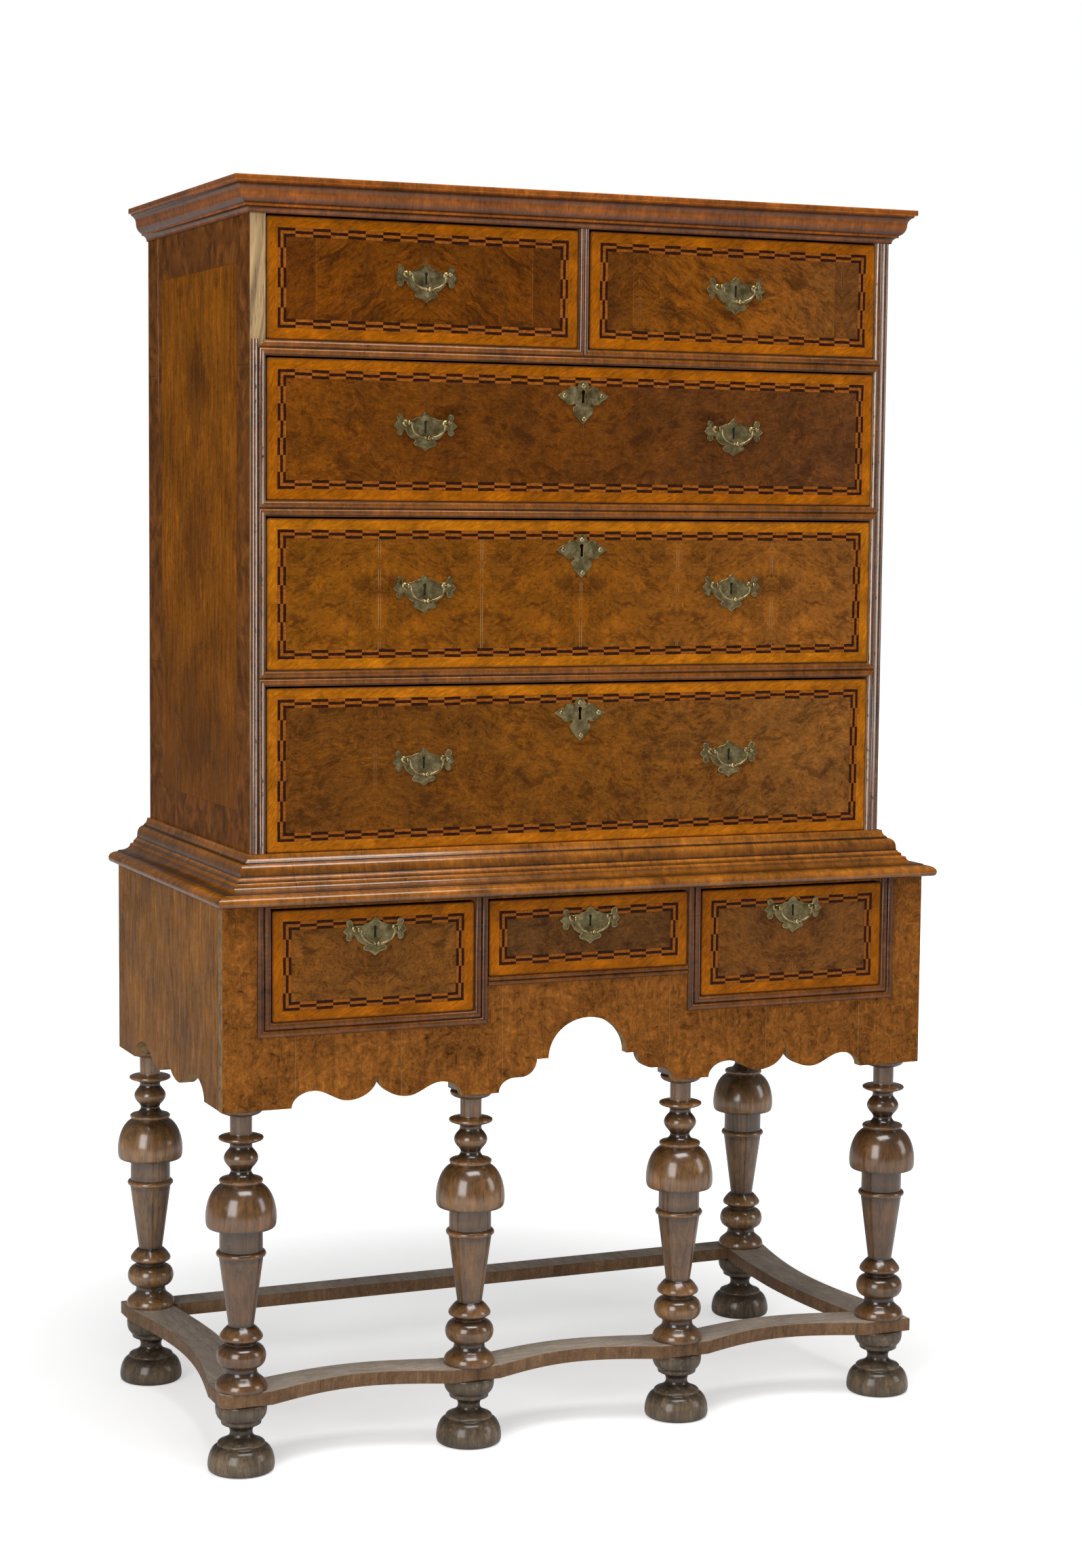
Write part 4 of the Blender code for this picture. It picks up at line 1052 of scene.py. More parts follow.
@dataclass(frozen=True)
class TurnedWood:
    """Dark polished turned oak: straight grain up the turning, painted shade in the grooves, partly grime,
    and painted highlights on the swells, partly rubbing.
    """

    name: str
    tint: Triple
    painted_shading: Steps  # (height, shade) up the turning, a higher shade is lighter: painted shade in the grooves and painted highlights on the swells
    seed: float = 0.0
    scuffs: float = 0.15
    polish: float = 0.7

    def make(self) -> Material:
        """Build the material."""
        tree = Tree(self.name)
        bent = tree.warped(tree.mapped(shift=(self.seed, 0.0, self.seed)), 6.0, 0.03)
        lines = tree.noise(tree.mapped((1.0, 1.0, 0.10), vector=bent), 150.0, 6.0, 0.64, 0.5)
        pores = tree.over(tree.noise(tree.mapped((1.0, 1.0, 0.05), vector=bent), 520.0, 2.0), 0.43, 0.31)
        clouds = tree.noise(bent, 22.0, 4.0, 0.6)
        colour = tree.shades(tree.blended((lines, 0.55), (clouds, 0.45)), self.tint, FIGURE, 0.8)
        colour = tree.stained(colour, pores, 0.50, srgb(34, 20, 10))
        # Painted shade in the grooves, partly grime, and painted highlights on the swells, by height
        colour = tree.by_height(colour, self.painted_shading, 0.47, 1.8)
        worn = tree.over(tree.noise(tree.coordinates, 60.0, 6.0, 0.7), 0.60 - self.scuffs * 0.1, 0.72)
        colour = tree.stained(colour, worn, self.scuffs, srgb(166, 148, 126))
        tree.set(Coat_Weight=self.polish, Coat_Roughness=0.18, Coat_IOR=1.88, Specular_IOR_Level=0.12)
        return tree.polished(colour, tree.blended((lines, 1.0), (pores, -1.0)), 0.00016, 0.16, 0.35)


@dataclass(frozen=True)
class Brass:
    """Old cast brass: dull olive ground, brighter where hands rub it."""

    name: str
    bright: float  # 0 dull plate, 1 rubbed bail
    seed: float = 0.0

    def make(self) -> Material:
        """Build the material."""
        tree = Tree(self.name)
        place = tree.mapped(shift=(self.seed, 0.0, self.seed))
        cast = tree.noise(place, 260.0, 5.0, 0.65)
        stain = tree.noise(place, 90.0, 4.0, 0.6)
        tone = tree.blended((stain, 0.6), (cast, 0.4))
        patina = ((0.34, srgb(92, 80, 50)), (0.50, srgb(132, 119, 82)), (0.64, srgb(168, 155, 116)))
        rubbed = ((0.36, srgb(104, 88, 54)), (0.60, srgb(186, 168, 122)))
        colour = tree.mix(self.bright, tree.ramp(tone, patina), tree.ramp(tone, rubbed))
        gloss = tree.scaled(stain, 0.30, 0.30 - 0.14 * self.bright)
        tree.set(Metallic=1.0)
        return tree.done(colour, gloss, tree.bump(tree.blended((cast, 1.0), (stain, 1.0)), 0.0002, 0.45))


def reed_rings(rect: Rect, offsets: Four, face_y: float) -> list[tuple[Rect, float]]:
    """Rings of a half-round reed laid round a rectangle.

    Args:
        rect: The reed's inner edge.
        offsets: Width of the reed to the left, right, below and above.
        face_y: y of the wood it lies on.

    Returns:
        Rings for Bench.mitred, closed behind the face.
    """
    rings = [(rect, face_y + BeadedFront.SUNK)]
    steps = 10
    for i in range(steps + 1):
        angle = math.pi * i / steps
        across = (1 - math.cos(angle)) / 2
        proud = BeadedFront.PROUD * math.sin(angle)
        rings.append((rect.grown(*(width * across for width in offsets)), face_y - proud))
    rings.append((rect.grown(*offsets), face_y + BeadedFront.SUNK))
    rings.append(rings[0])
    return rings


@dataclass
class BeadedFront:
    """The half-round reeds round the drawers, two to a rail or stile."""

    reed: float = 0.00885
    slim_reed: float = 0.0070
    stile_gap: float = 0.0010
    rail_gap: float = 0.0009

    PROUD = 0.0044  # height of a reed
    SUNK = 0.0006  # how far a reed goes into the wood behind
    PAST = 0.03  # how far a frame of reeds is made past where it is trimmed

    def straight(self, name: str, low: Triple, high: Triple, along: Grain) -> Piece:
        """A straight reed that fills the front of a box, flat behind."""
        middle = ((low[0] + high[0]) / 2, high[1], (low[2] + high[2]) / 2)
        width, proud, height = (b - a for a, b in zip(low, high))
        lying = along is Grain.X
        length, across = (width, height) if lying else (height, width)
        turn = (0.0, math.pi / 2 if lying else 0.0, 0.0)
        bpy.ops.mesh.primitive_cylinder_add(
            vertices=24, radius=0.5, depth=length, location=middle, rotation=turn
        )
        piece = Bench.named(name, (across, 2 * proud, 1.0))
        Bench.trim(piece, (0.0, high[1] + self.SUNK, 0.0), (0.0, 1.0, 0.0))
        return Bench.smooth(piece, Sharp.REED)

    def around(self, name: str, opening: Rect, face_y: float, widths: Four) -> Piece:
        """A mitred reed frame round an opening, its reeds' widths given left, right, below and above."""
        inner = opening.grown(self.stile_gap, self.stile_gap, self.rail_gap, self.rail_gap)
        return Bench.mitred(name, reed_rings(inner, widths, face_y))


@dataclass
class UpperChest:
    """The upper chest without its drawers: sides, rails, reeds, boards behind and cornice."""

    rail_h: float = 0.020
    rail_deep: float = 0.060
    dust_t: float = 0.008
    divider: float = 0.015
    back_t: float = 0.012
    top_t: float = 0.018
    planks: int = 4

    DUST_GAP = 0.0004  # between the two boards behind a rail
    PLANK_GAP = 0.0010  # between the planks of the back
    PLANK_EDGE = 0.0012  # bevel of the planks
    STILE_IN = 0.0011  # from the case's side to the outer reed
    RAIL_IN = 0.002  # from an opening's side to where the rail reed's wood starts
    HIGHLIGHT_IN = 0.003  # how much nearer the middle the painted highlights of the right reeds lie
    PANEL = (0.0575, 0.398, 0.840, 1.529)  # a side's inner panel: y0, y1 from the front and z0, z1

    STILE_JOINTS = (0.842, 0.935, 1.205, 1.335, 1.42)  # heights where the stile reeds are pieced
    RAIL_JOINTS = (-0.302, -0.125, 0.012, 0.196, 0.331)  # places along the rails where theirs are

    # (distance out from the case, height over the cornice's foot)
    CORNICE = tenths(
        (2, 0), (20, 0), (24, 26), (36, 52), (62, 73), (88, 78), (92, 80), (92, 104), (100, 106),
        (128, 126), (150, 154), (164, 186), (171, 222), (173, 255), (180, 284), (196, 311), (218, 331),
        (238, 340), (240, 342), (240, 358), (244, 361), (272, 364), (277, 368), (277, 428), (271, 435),
    )

    def build(self) -> None:
        """Build and dress every piece of the upper chest."""
        self.sides()
        self.rails()
        self.reeds()
        self.boards()
        self.top()

    def sides(self) -> None:
        """The two side boards, veneered outside, oak inside."""
        y0, y1, z0, z1 = self.PANEL
        panel = (PLAN.front_y + y0, PLAN.front_y + y1, z0, z1)
        flames = (
            (0.030, 1.372, 0.070, 0.100), (0.030, 1.181, 0.095, 0.110), (0.036, 0.950, 0.120, 0.110),
            (0.106, 1.506, 0.022, 0.020), (-0.057, 1.512, 0.016, 0.016),
        )
        oak = OakBoard("oak inside the case", (128, 92, 56), Grain.Z).make()
        for side, seed in ((Side.LEFT, 2.0), (Side.RIGHT, 7.0)):
            x0, x1 = sorted((side.value * PLAN.open_x, side.value * PLAN.case_x))
            low = (x0, PLAN.front_y + PLAN.BEAD_BASE, PLAN.case_z + FIT)
            board = Bench.block(f"side_board_{side.word}", low, (x1, PLAN.back_y, PLAN.case_top))
            name = f"veneered side {side.word}"
            finish = SidePanel(name, (130, 74, 6), Grain.Z, 0.34, seed, (), 1.15, panel=panel, flames=flames)
            veneer = finish.make()
            edge = OakBoard("bare front edge", (172, 142, 100), Grain.Z, 0.25).make()
            outward = side.value
            Bench.paint(board, 1, lambda _, normal: normal.x * outward < 0.3)
            Bench.paint(board, 2, lambda _, normal: normal.y < -0.3)
            dress(board, "carcase", (veneer, oak, edge), (f"upper_side_{side.word}",))

    def rails(self) -> None:
        """The front rails and the divider, with the dust boards behind them."""
        oak = OakBoard("oak rail", (122, 88, 54), Grain.X).make()
        dust = OakBoard("dust board", (150, 116, 76), Grain.X).make()
        inside = PLAN.open_x - FIT
        front, back = PLAN.front_y + PLAN.BEAD_BASE, PLAN.back_y - self.back_t - FIT
        rails = {"top": "drawer_short_left", "middle": "drawer_upper", "bottom": "drawer_middle"}
        for tag, drawer in rails.items():
            z = PLAN.opening(drawer).z0
            start = front + self.rail_deep
            rail = Bench.block(f"rail_front_{tag}", (-inside, front, z - self.rail_h), (inside, start, z))
            dress(rail, "carcase", (oak,), (f"rail_{tag}",))
            depth = (back - start) / 2
            boards = []
            for i in range(2):
                low = (-inside, start + i * depth, z - self.dust_t)
                boards.append(Bench.block("dust", low, (inside, start + (i + 1) * depth - self.DUST_GAP, z)))
            dress(Bench.join(f"dust_board_{tag}", boards), "carcase", (dust,))
        z = PLAN.opening("drawer_short_left").z0
        half = self.divider / 2
        post = Bench.block("divider_board", (-half, front, z), (half, back, PLAN.cornice_z - FIT))
        dress(post, "carcase", (OakBoard("oak divider", (122, 88, 54), Grain.Z).make(),))

    def reeds(self) -> None:
        """The reed frames round the five drawers and the two outer stile reeds."""
        beads = BeadedFront()
        face = PLAN.front_y + PLAN.BEAD_BASE
        wide, slim = beads.reed, beads.slim_reed
        inner, outer = PLAN.case_x - 1.75 * wide, PLAN.case_x - 0.75 * wide
        # Places of the painted highlight lines along the stile reeds
        painted_highlight_xs = (-outer, -inner, inner - self.HIGHLIGHT_IN, outer - self.HIGHLIGHT_IN)
        joints = self.STILE_JOINTS
        stile = CrossGrain("stile reed", (92, 54, 24), Grain.Z, 1.0, joints, (), 0.04, 1.0, painted_highlight_xs).make()
        rail = CrossGrain("rail reed", (120, 67, 14), Grain.X, 4.0, self.RAIL_JOINTS, (), 0.08, 0.3).make()
        widths = {
            "drawer_short_left": (wide, slim, wide, wide),
            "drawer_short_right": (slim, wide, wide, wide),
            "drawer_upper": (wide,) * 4,
            "drawer_middle": (wide,) * 4,
            "drawer_lower": (wide,) * 4,
        }
        for node, sides in widths.items():
            opening = PLAN.opening(node)
            below = beads.PAST if node == "drawer_lower" else 0.0
            above = beads.PAST if "short" in node else 0.0
            reeds = beads.around(f"reeds_{node}", opening.grown(0.0, 0.0, below, above), face, sides)
            if "short" in node:
                away = 1.0 if node.endswith("left") else -1.0
                Bench.trim(reeds, (-away * FIT / 2, 0.0, 0.0), (away, 0.0, 0.0))
                Bench.trim(reeds, (0.0, 0.0, PLAN.cornice_z - FIT), (0.0, 0.0, 1.0))
            if node == "drawer_lower":
                Bench.trim(reeds, (0.0, 0.0, opening.z0 + FIT), (0.0, 0.0, -1.0))
            if node == "drawer_short_left":
                corner = (opening.x0 - beads.stile_gap, 0.0, opening.z0 - beads.rail_gap)
                Bench.trim(reeds, corner, (-1.0, 0.0, 1.0))
            Bench.smooth(reeds, Sharp.REED)
            low_x, high_x = opening.x0 + self.RAIL_IN, opening.x1 - self.RAIL_IN
            Bench.paint(reeds, 1, lambda at, _: low_x < at.x < high_x)
            dress(reeds, "carcase", (stile, rail))
        tops = {Side.LEFT: PLAN.opening("drawer_short_left").z0, Side.RIGHT: PLAN.cornice_z - FIT}
        edge = PLAN.case_x - self.STILE_IN
        for side, top in tops.items():
            x0, x1 = sorted((side.value * (edge - wide), side.value * edge))
            low = (x0, face - beads.PROUD, PLAN.opening("drawer_lower").z0 + FIT)
            reed = beads.straight(f"stile_reed_{side.word}", low, (x1, face, top), Grain.Z)
            dress(reed, "carcase", (stile,))

    def boards(self) -> None:
        """The planked back and the bottom board."""
        oak = OakBoard("back planks", (112, 82, 52), Grain.Z, 0.6).make()
        inside = PLAN.open_x - FIT
        width, gap = 2 * inside / self.planks, self.PLANK_GAP / 2
        low_z, high_z = (corner.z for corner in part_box("upper_back"))
        boards = []
        for i in range(self.planks):
            low = (-inside + i * width + gap, PLAN.back_y - self.back_t, low_z)
            high = (-inside + (i + 1) * width - gap, PLAN.back_y - SHY, high_z)
            boards.append(Bench.block("plank", low, high, self.PLANK_EDGE))
        dress(Bench.join("back_planks", boards), "carcase", (oak,), ("upper_back",))
        repaint("upper_bottom", OakBoard("bottom board", (138, 104, 66), Grain.X).make())

    def top(self) -> None:
        """The moulded cornice with the top board."""
        profile = [(reach, PLAN.cornice_z + height) for reach, height in self.CORNICE]
        cornice = Bench.moulded("cornice_moulding", profile, PLAN.case_x, PLAN.front_y, PLAN.back_y)
        inner = Bench.block(
            "hollow",
            (-PLAN.case_x - FIT, PLAN.front_y - FIT, PLAN.cornice_z - PAST),
            (PLAN.case_x + FIT, PLAN.back_y + PAST, PLAN.top_z - self.top_t),
            0.0,
        )
        Bench.cut(cornice, inner)
        inside = PLAN.open_x - FIT
        rail = Bench.block(
            "cornice_rail",
            (-inside, PLAN.front_y + FIT, PLAN.cornice_z),
            (inside, PLAN.front_y + self.rail_deep / 2, PLAN.top_z - self.top_t - FIT),
        )
        Bench.smooth(cornice, Sharp.MOULDING)
        # Painted shade in the cornice's grooves, partly grime, and painted highlights on its arrises, by
        # height
        shades = shaded(
            PLAN.cornice_z, (0, 40), (35, 52), (74, 30), (82, 62), (102, 66), (112, 34), (160, 46),
            (222, 62), (280, 50), (330, 34), (345, 40), (358, 68), (366, 74), (380, 50), (420, 58),
            (435, 76),
        )
        tint = (122, 66, 18)
        joints = (-0.243, -0.030, 0.212)
        front = CrossGrain("cornice front", tint, Grain.X, 3.0, joints, shades, polish=0.3).make()
        ends = CrossGrain("cornice ends", tint, Grain.Y, 6.0, (-0.10, 0.085), shades, polish=0.2).make()
        board = OakBoard("top board", (104, 74, 46), Grain.X, 0.5).make()
        Bench.paint(cornice, 1, lambda _, normal: abs(normal.x) > abs(normal.y))
        Bench.paint(cornice, 2, lambda at, normal: abs(normal.z) > 0.95 and at.z > PLAN.top_z - 0.001)
        Bench.paint(cornice, 2, lambda _, normal: normal.y > 0.9)
        dress(cornice, "carcase", (front, ends, board), ("cornice_top",))
        dress(rail, "carcase", (board,))


@dataclass
class Stand:
    """The stand's case: shaped front and sides, reeds, top board and the moulding the chest sits in."""

    wide_reed: float = 0.0090
    slim_reed: float = 0.0056
    front_corner: float = 0.0915  # straight edge from the corner to the first arch
    pad_in: float = 0.126  # inner edge of the pads over the inner legs
    pad: float = 0.0515
    side_pad: float = 0.081

    REED_GAP = 0.0004  # between the reeds, and round them
    REED_BACK = 0.0006  # how much less the reeds under the centre drawer stand out
    UNDER = 0.0195  # height of the reeds under a side drawer
    SAWN_EDGE = 0.0007  # rounding of the boards' sawn edges

    # Edge of the top board: (distance out from the case, height over the stand's boards)
    THUMB = tenths(
        (545, 0), (570, 4), (588, 18), (598, 42), (600, 64), (594, 90), (578, 112), (556, 127), (528, 138),
        (500, 144), (470, 147), (464, 150),
    )
    # Waist moulding: (distance out from the case, height over the top board)
    WAIST = tenths(
        (460, 0), (400, 3), (368, 10), (340, 19), (315, 34), (298, 52), (290, 72), (286, 88), (272, 92),
        (250, 94), (244, 100), (240, 130), (232, 136), (212, 148), (206, 158), (203, 165), (190, 172),
        (188, 205), (184, 245), (176, 275), (158, 303), (136, 322), (112, 331), (98, 334), (96, 342),
        (88, 352), (68, 368), (54, 388), (47, 410), (44, 436), (40, 438),
    )

    def build(self) -> None:
        """Build and dress every piece of the stand's case."""
        self.front()
        self.reeds()
        self.sides()
        self.inside()
        self.top()

    @staticmethod
    def motif(
        start: float, end: float, cove: float, crown: float, lobe: float, drop: float, cusp: float
    ) -> Points:
        """Edge of a pair of ogee arches that meet in a cusp, between two pads.

        Args:
            start: Where the edge leaves the first pad.
            end: Where it meets the second pad.
            cove: Width of the quarter round beside a pad.
            crown: Height of an arch over the pads.
            lobe: Distance of a lobe's lowest point from the middle.
            drop: Height of that point.
            cusp: Height of the cusp.

        Returns:
            (along, height over the pads), from start to end.
        """
        half = (end - start) / 2
        arch = half - cove
        right = arc(lobe, cusp, lobe, cusp - drop, 180, 270, 12)
        for i in range(1, 12):
            share = i / 12
            rise = (1 - math.cos(math.pi * share)) / 2
            right.append((lobe + (arch - lobe) * share, drop + (crown - drop) * rise))
        right += arc(arch, 0.0, cove, crown, 90, 0, 12)
        return shifted(flipped(right[1:]) + right, (start + end) / 2, 0.0)

    def front_edge(self) -> Points:
        """Lower edge of the front board, left to right, over the foot of the apron."""
        right = arc(0.0, 0.041, 0.056, 0.051, 90, 0, 24)
        right += arc(0.095, 0.041, 0.0225, 0.0225, 180, 270, 10)
        right += arc(0.104, 0.0, 0.022, 0.0185, 90, 0, 10)
        start, end = self.pad_in + self.pad, PLAN.stand_x - self.front_corner
        right += self.motif(start, end, 0.029, 0.0205, 0.040, 0.005, 0.0355) + [(PLAN.stand_x, 0.0)]
        return flipped(right[1:]) + right

    def openings(self) -> dict[str, Rect]:
        """The openings of the three drawers."""
        return {tag: PLAN.opening(f"stand_drawer_{tag}") for tag in ("left", "centre", "right")}

    def front(self) -> None:
        """The front board with its apron."""
        top = PLAN.stand_top - FIT
        outline = shifted(self.front_edge(), 0.0, PLAN.apron_z) + [(PLAN.stand_x, top), (-PLAN.stand_x, top)]
        holes = [[(r.x0, r.z0), (r.x1, r.z0), (r.x1, r.z1), (r.x0, r.z1)] for r in self.openings().values()]
        face = PLAN.stand_front_y + PLAN.BEAD_BASE
        back = PLAN.stand_front_y + PLAN.STAND_BOARD
        board = Bench.sawn("apron_front", [outline, *holes], back - face, self.SAWN_EDGE)
        Bench.stand_up(board, (face + back) / 2)
        joints = (-0.4045, -0.262, -0.122, 0.118, 0.262, 0.4045)
        veneer = Veneer("apron veneer", (125, 75, 27), Grain.Z, 0.78, 5.0, joints, 1.35).make()
        edge = OakBoard("sawn edge", (158, 122, 80), Grain.X, 0.3).make()
        oak = OakBoard("oak behind the front", (118, 86, 54), Grain.X).make()
        Bench.paint(board, 1, lambda _, normal: abs(normal.y) < 0.9)
        Bench.paint(board, 2, lambda _, normal: normal.y > 0.9)
        dress(board, "carcase", (veneer, edge, oak), ("stand_front",))

    def reeds(self) -> None:
        """The double reeds round the stand's drawers."""
        face = PLAN.stand_front_y + PLAN.BEAD_BASE
        stile = CrossGrain("stand stile reed", (89, 49, 18), Grain.Z, 2.5, (0.62, 0.69), (), 0.08, 0.3).make()
        joints = (-0.268, 0.262)
        rail = CrossGrain("stand rail reed", (103, 58, 18), Grain.X, 5.5, joints, (), 0.08, 0.3).make()
        beads = BeadedFront(stile_gap=self.REED_GAP, rail_gap=self.REED_GAP)
        widths, out, up = (self.wide_reed,) * 4, self.wide_reed + FIT, beads.PAST
        for tag in ("left", "right"):
            opening = self.openings()[tag]
            inner = beads.around("inner reeds", opening.grown(0.0, 0.0, 0.0, up), face, widths)
            outer = beads.around("outer reeds", opening.grown(out, out, out, up), face, widths)
            reeds = Bench.join(f"reeds_stand_{tag}", [inner, outer])
            Bench.trim(reeds, (0.0, 0.0, PLAN.stand_top - 2 * FIT), (0.0, 0.0, 1.0))
            Bench.smooth(reeds, Sharp.REED)
            low = opening.z0 - self.UNDER
            Bench.paint(reeds, 1, lambda at, _: opening.x0 < at.x < opening.x1 and low < at.z < opening.z0)
            dress(reeds, "carcase", (stile, rail))
        opening = self.openings()["centre"]
        for i in range(2):
            high_z = opening.z0 - self.REED_GAP - i * (self.slim_reed + self.REED_GAP)
            low = (opening.x0, face - beads.PROUD + self.REED_BACK, high_z - self.slim_reed)
            reed = beads.straight(f"centre_reed_{i + 1}", low, (opening.x1, face, high_z), Grain.X)
            dress(reed, "carcase", (rail,))

    def sides(self) -> None:
        """The two side boards with their aprons."""
        front, back = PLAN.stand_front_y + PLAN.STAND_BOARD + FIT, PLAN.stand_back_y
        start, end = PLAN.stand_front_y + self.side_pad, back - self.side_pad
        edge = self.motif(start, end, 0.046, 0.028, 0.048, 0.0035, 0.033)
        top = PLAN.stand_top - FIT
        outline = shifted([(front, 0.0), *edge, (back, 0.0)], 0.0, PLAN.apron_z) + [(back, top), (front, top)]
        cut = OakBoard("sawn side edge", (150, 116, 76), Grain.Y, 0.3).make()
        oak = OakBoard("oak behind the side", (118, 86, 54), Grain.Y).make()
        for side, seed in ((Side.LEFT, 11.0), (Side.RIGHT, 15.0)):
            board = Bench.sawn(f"apron_side_{side.word}", [outline], PLAN.STAND_BOARD, self.SAWN_EDGE)
            middle = (side.value * (PLAN.stand_x - PLAN.STAND_BOARD / 2), 0.0, 0.0)
            Bench.place(board, middle, (math.pi / 2, 0.0, math.pi / 2))
            veneer = Veneer(f"stand side {side.word}", (130, 81, 19), Grain.Z, 0.25, seed, (), 1.25).make()
            outward = side.value
            Bench.paint(board, 1, lambda _, normal: abs(normal.x) < 0.9)
            Bench.paint(board, 2, lambda _, normal: normal.x * outward < -0.9)
            dress(board, "carcase", (veneer, cut, oak), (f"stand_side_{side.word}",))

    def inside(self) -> None:
        """The back, partitions and boards behind the stand's front, carried over from the frame."""
        repaint("stand_back_frame", OakBoard("stand back", (120, 90, 58), Grain.X, 0.6).make())

    def top(self) -> None:
        """The stand's top board with its thumb edge and the waist moulding on it."""
        profile = [(reach, PLAN.stand_top + height) for reach, height in self.THUMB]
        profile += [(reach, PLAN.case_z + height) for reach, height in self.WAIST]
        board = Bench.moulded("waist_board", profile, PLAN.case_x, PLAN.front_y, PLAN.back_y)
        well = Bench.block(
            "well",
            (-PLAN.case_x - FIT, PLAN.front_y + PLAN.BEAD_BASE - FIT, PLAN.case_z),
            (PLAN.case_x + FIT, PLAN.back_y + PAST, PLAN.case_z + 0.06),
            0.0,
        )
        Bench.cut(board, well)
        Bench.smooth(board, Sharp.MOULDING)
        # Painted shade in the waist moulding's grooves, partly grime, and painted highlights on its arrises,
        # by height
        shades = shaded(
            PLAN.stand_top, (0, 36), (40, 52), (90, 60), (135, 66), (147, 52), (156, 24), (166, 40),
            (180, 52), (230, 46), (248, 70), (258, 74), (264, 40), (292, 48), (312, 72), (325, 70),
            (332, 30), (360, 46), (430, 54), (480, 66), (494, 34), (503, 28), (520, 62), (545, 56),
            (590, 66), (600, 74),
        )
        joints = (-0.40, -0.305, 0.02, 0.055, 0.30)
        front = CrossGrain("waist front", (122, 71, 14), Grain.X, 8.0, joints, shades, polish=0.5).make()
        joints = (-0.12, 0.09)
        ends = CrossGrain("waist ends", (111, 65, 15), Grain.Y, 9.0, joints, shades, polish=0.2).make()
        oak = OakBoard("top of the stand", (112, 80, 48), Grain.X, 0.5).make()
        Bench.paint(board, 1, lambda _, normal: abs(normal.x) > abs(normal.y))
        foot = PLAN.stand_top + 0.001
        Bench.paint(board, 2, lambda at, normal: normal.y > 0.9 or (normal.z < -0.9 and at.z < foot))
        dress(board, "carcase", (front, ends, oak), ("waist_moulding",))


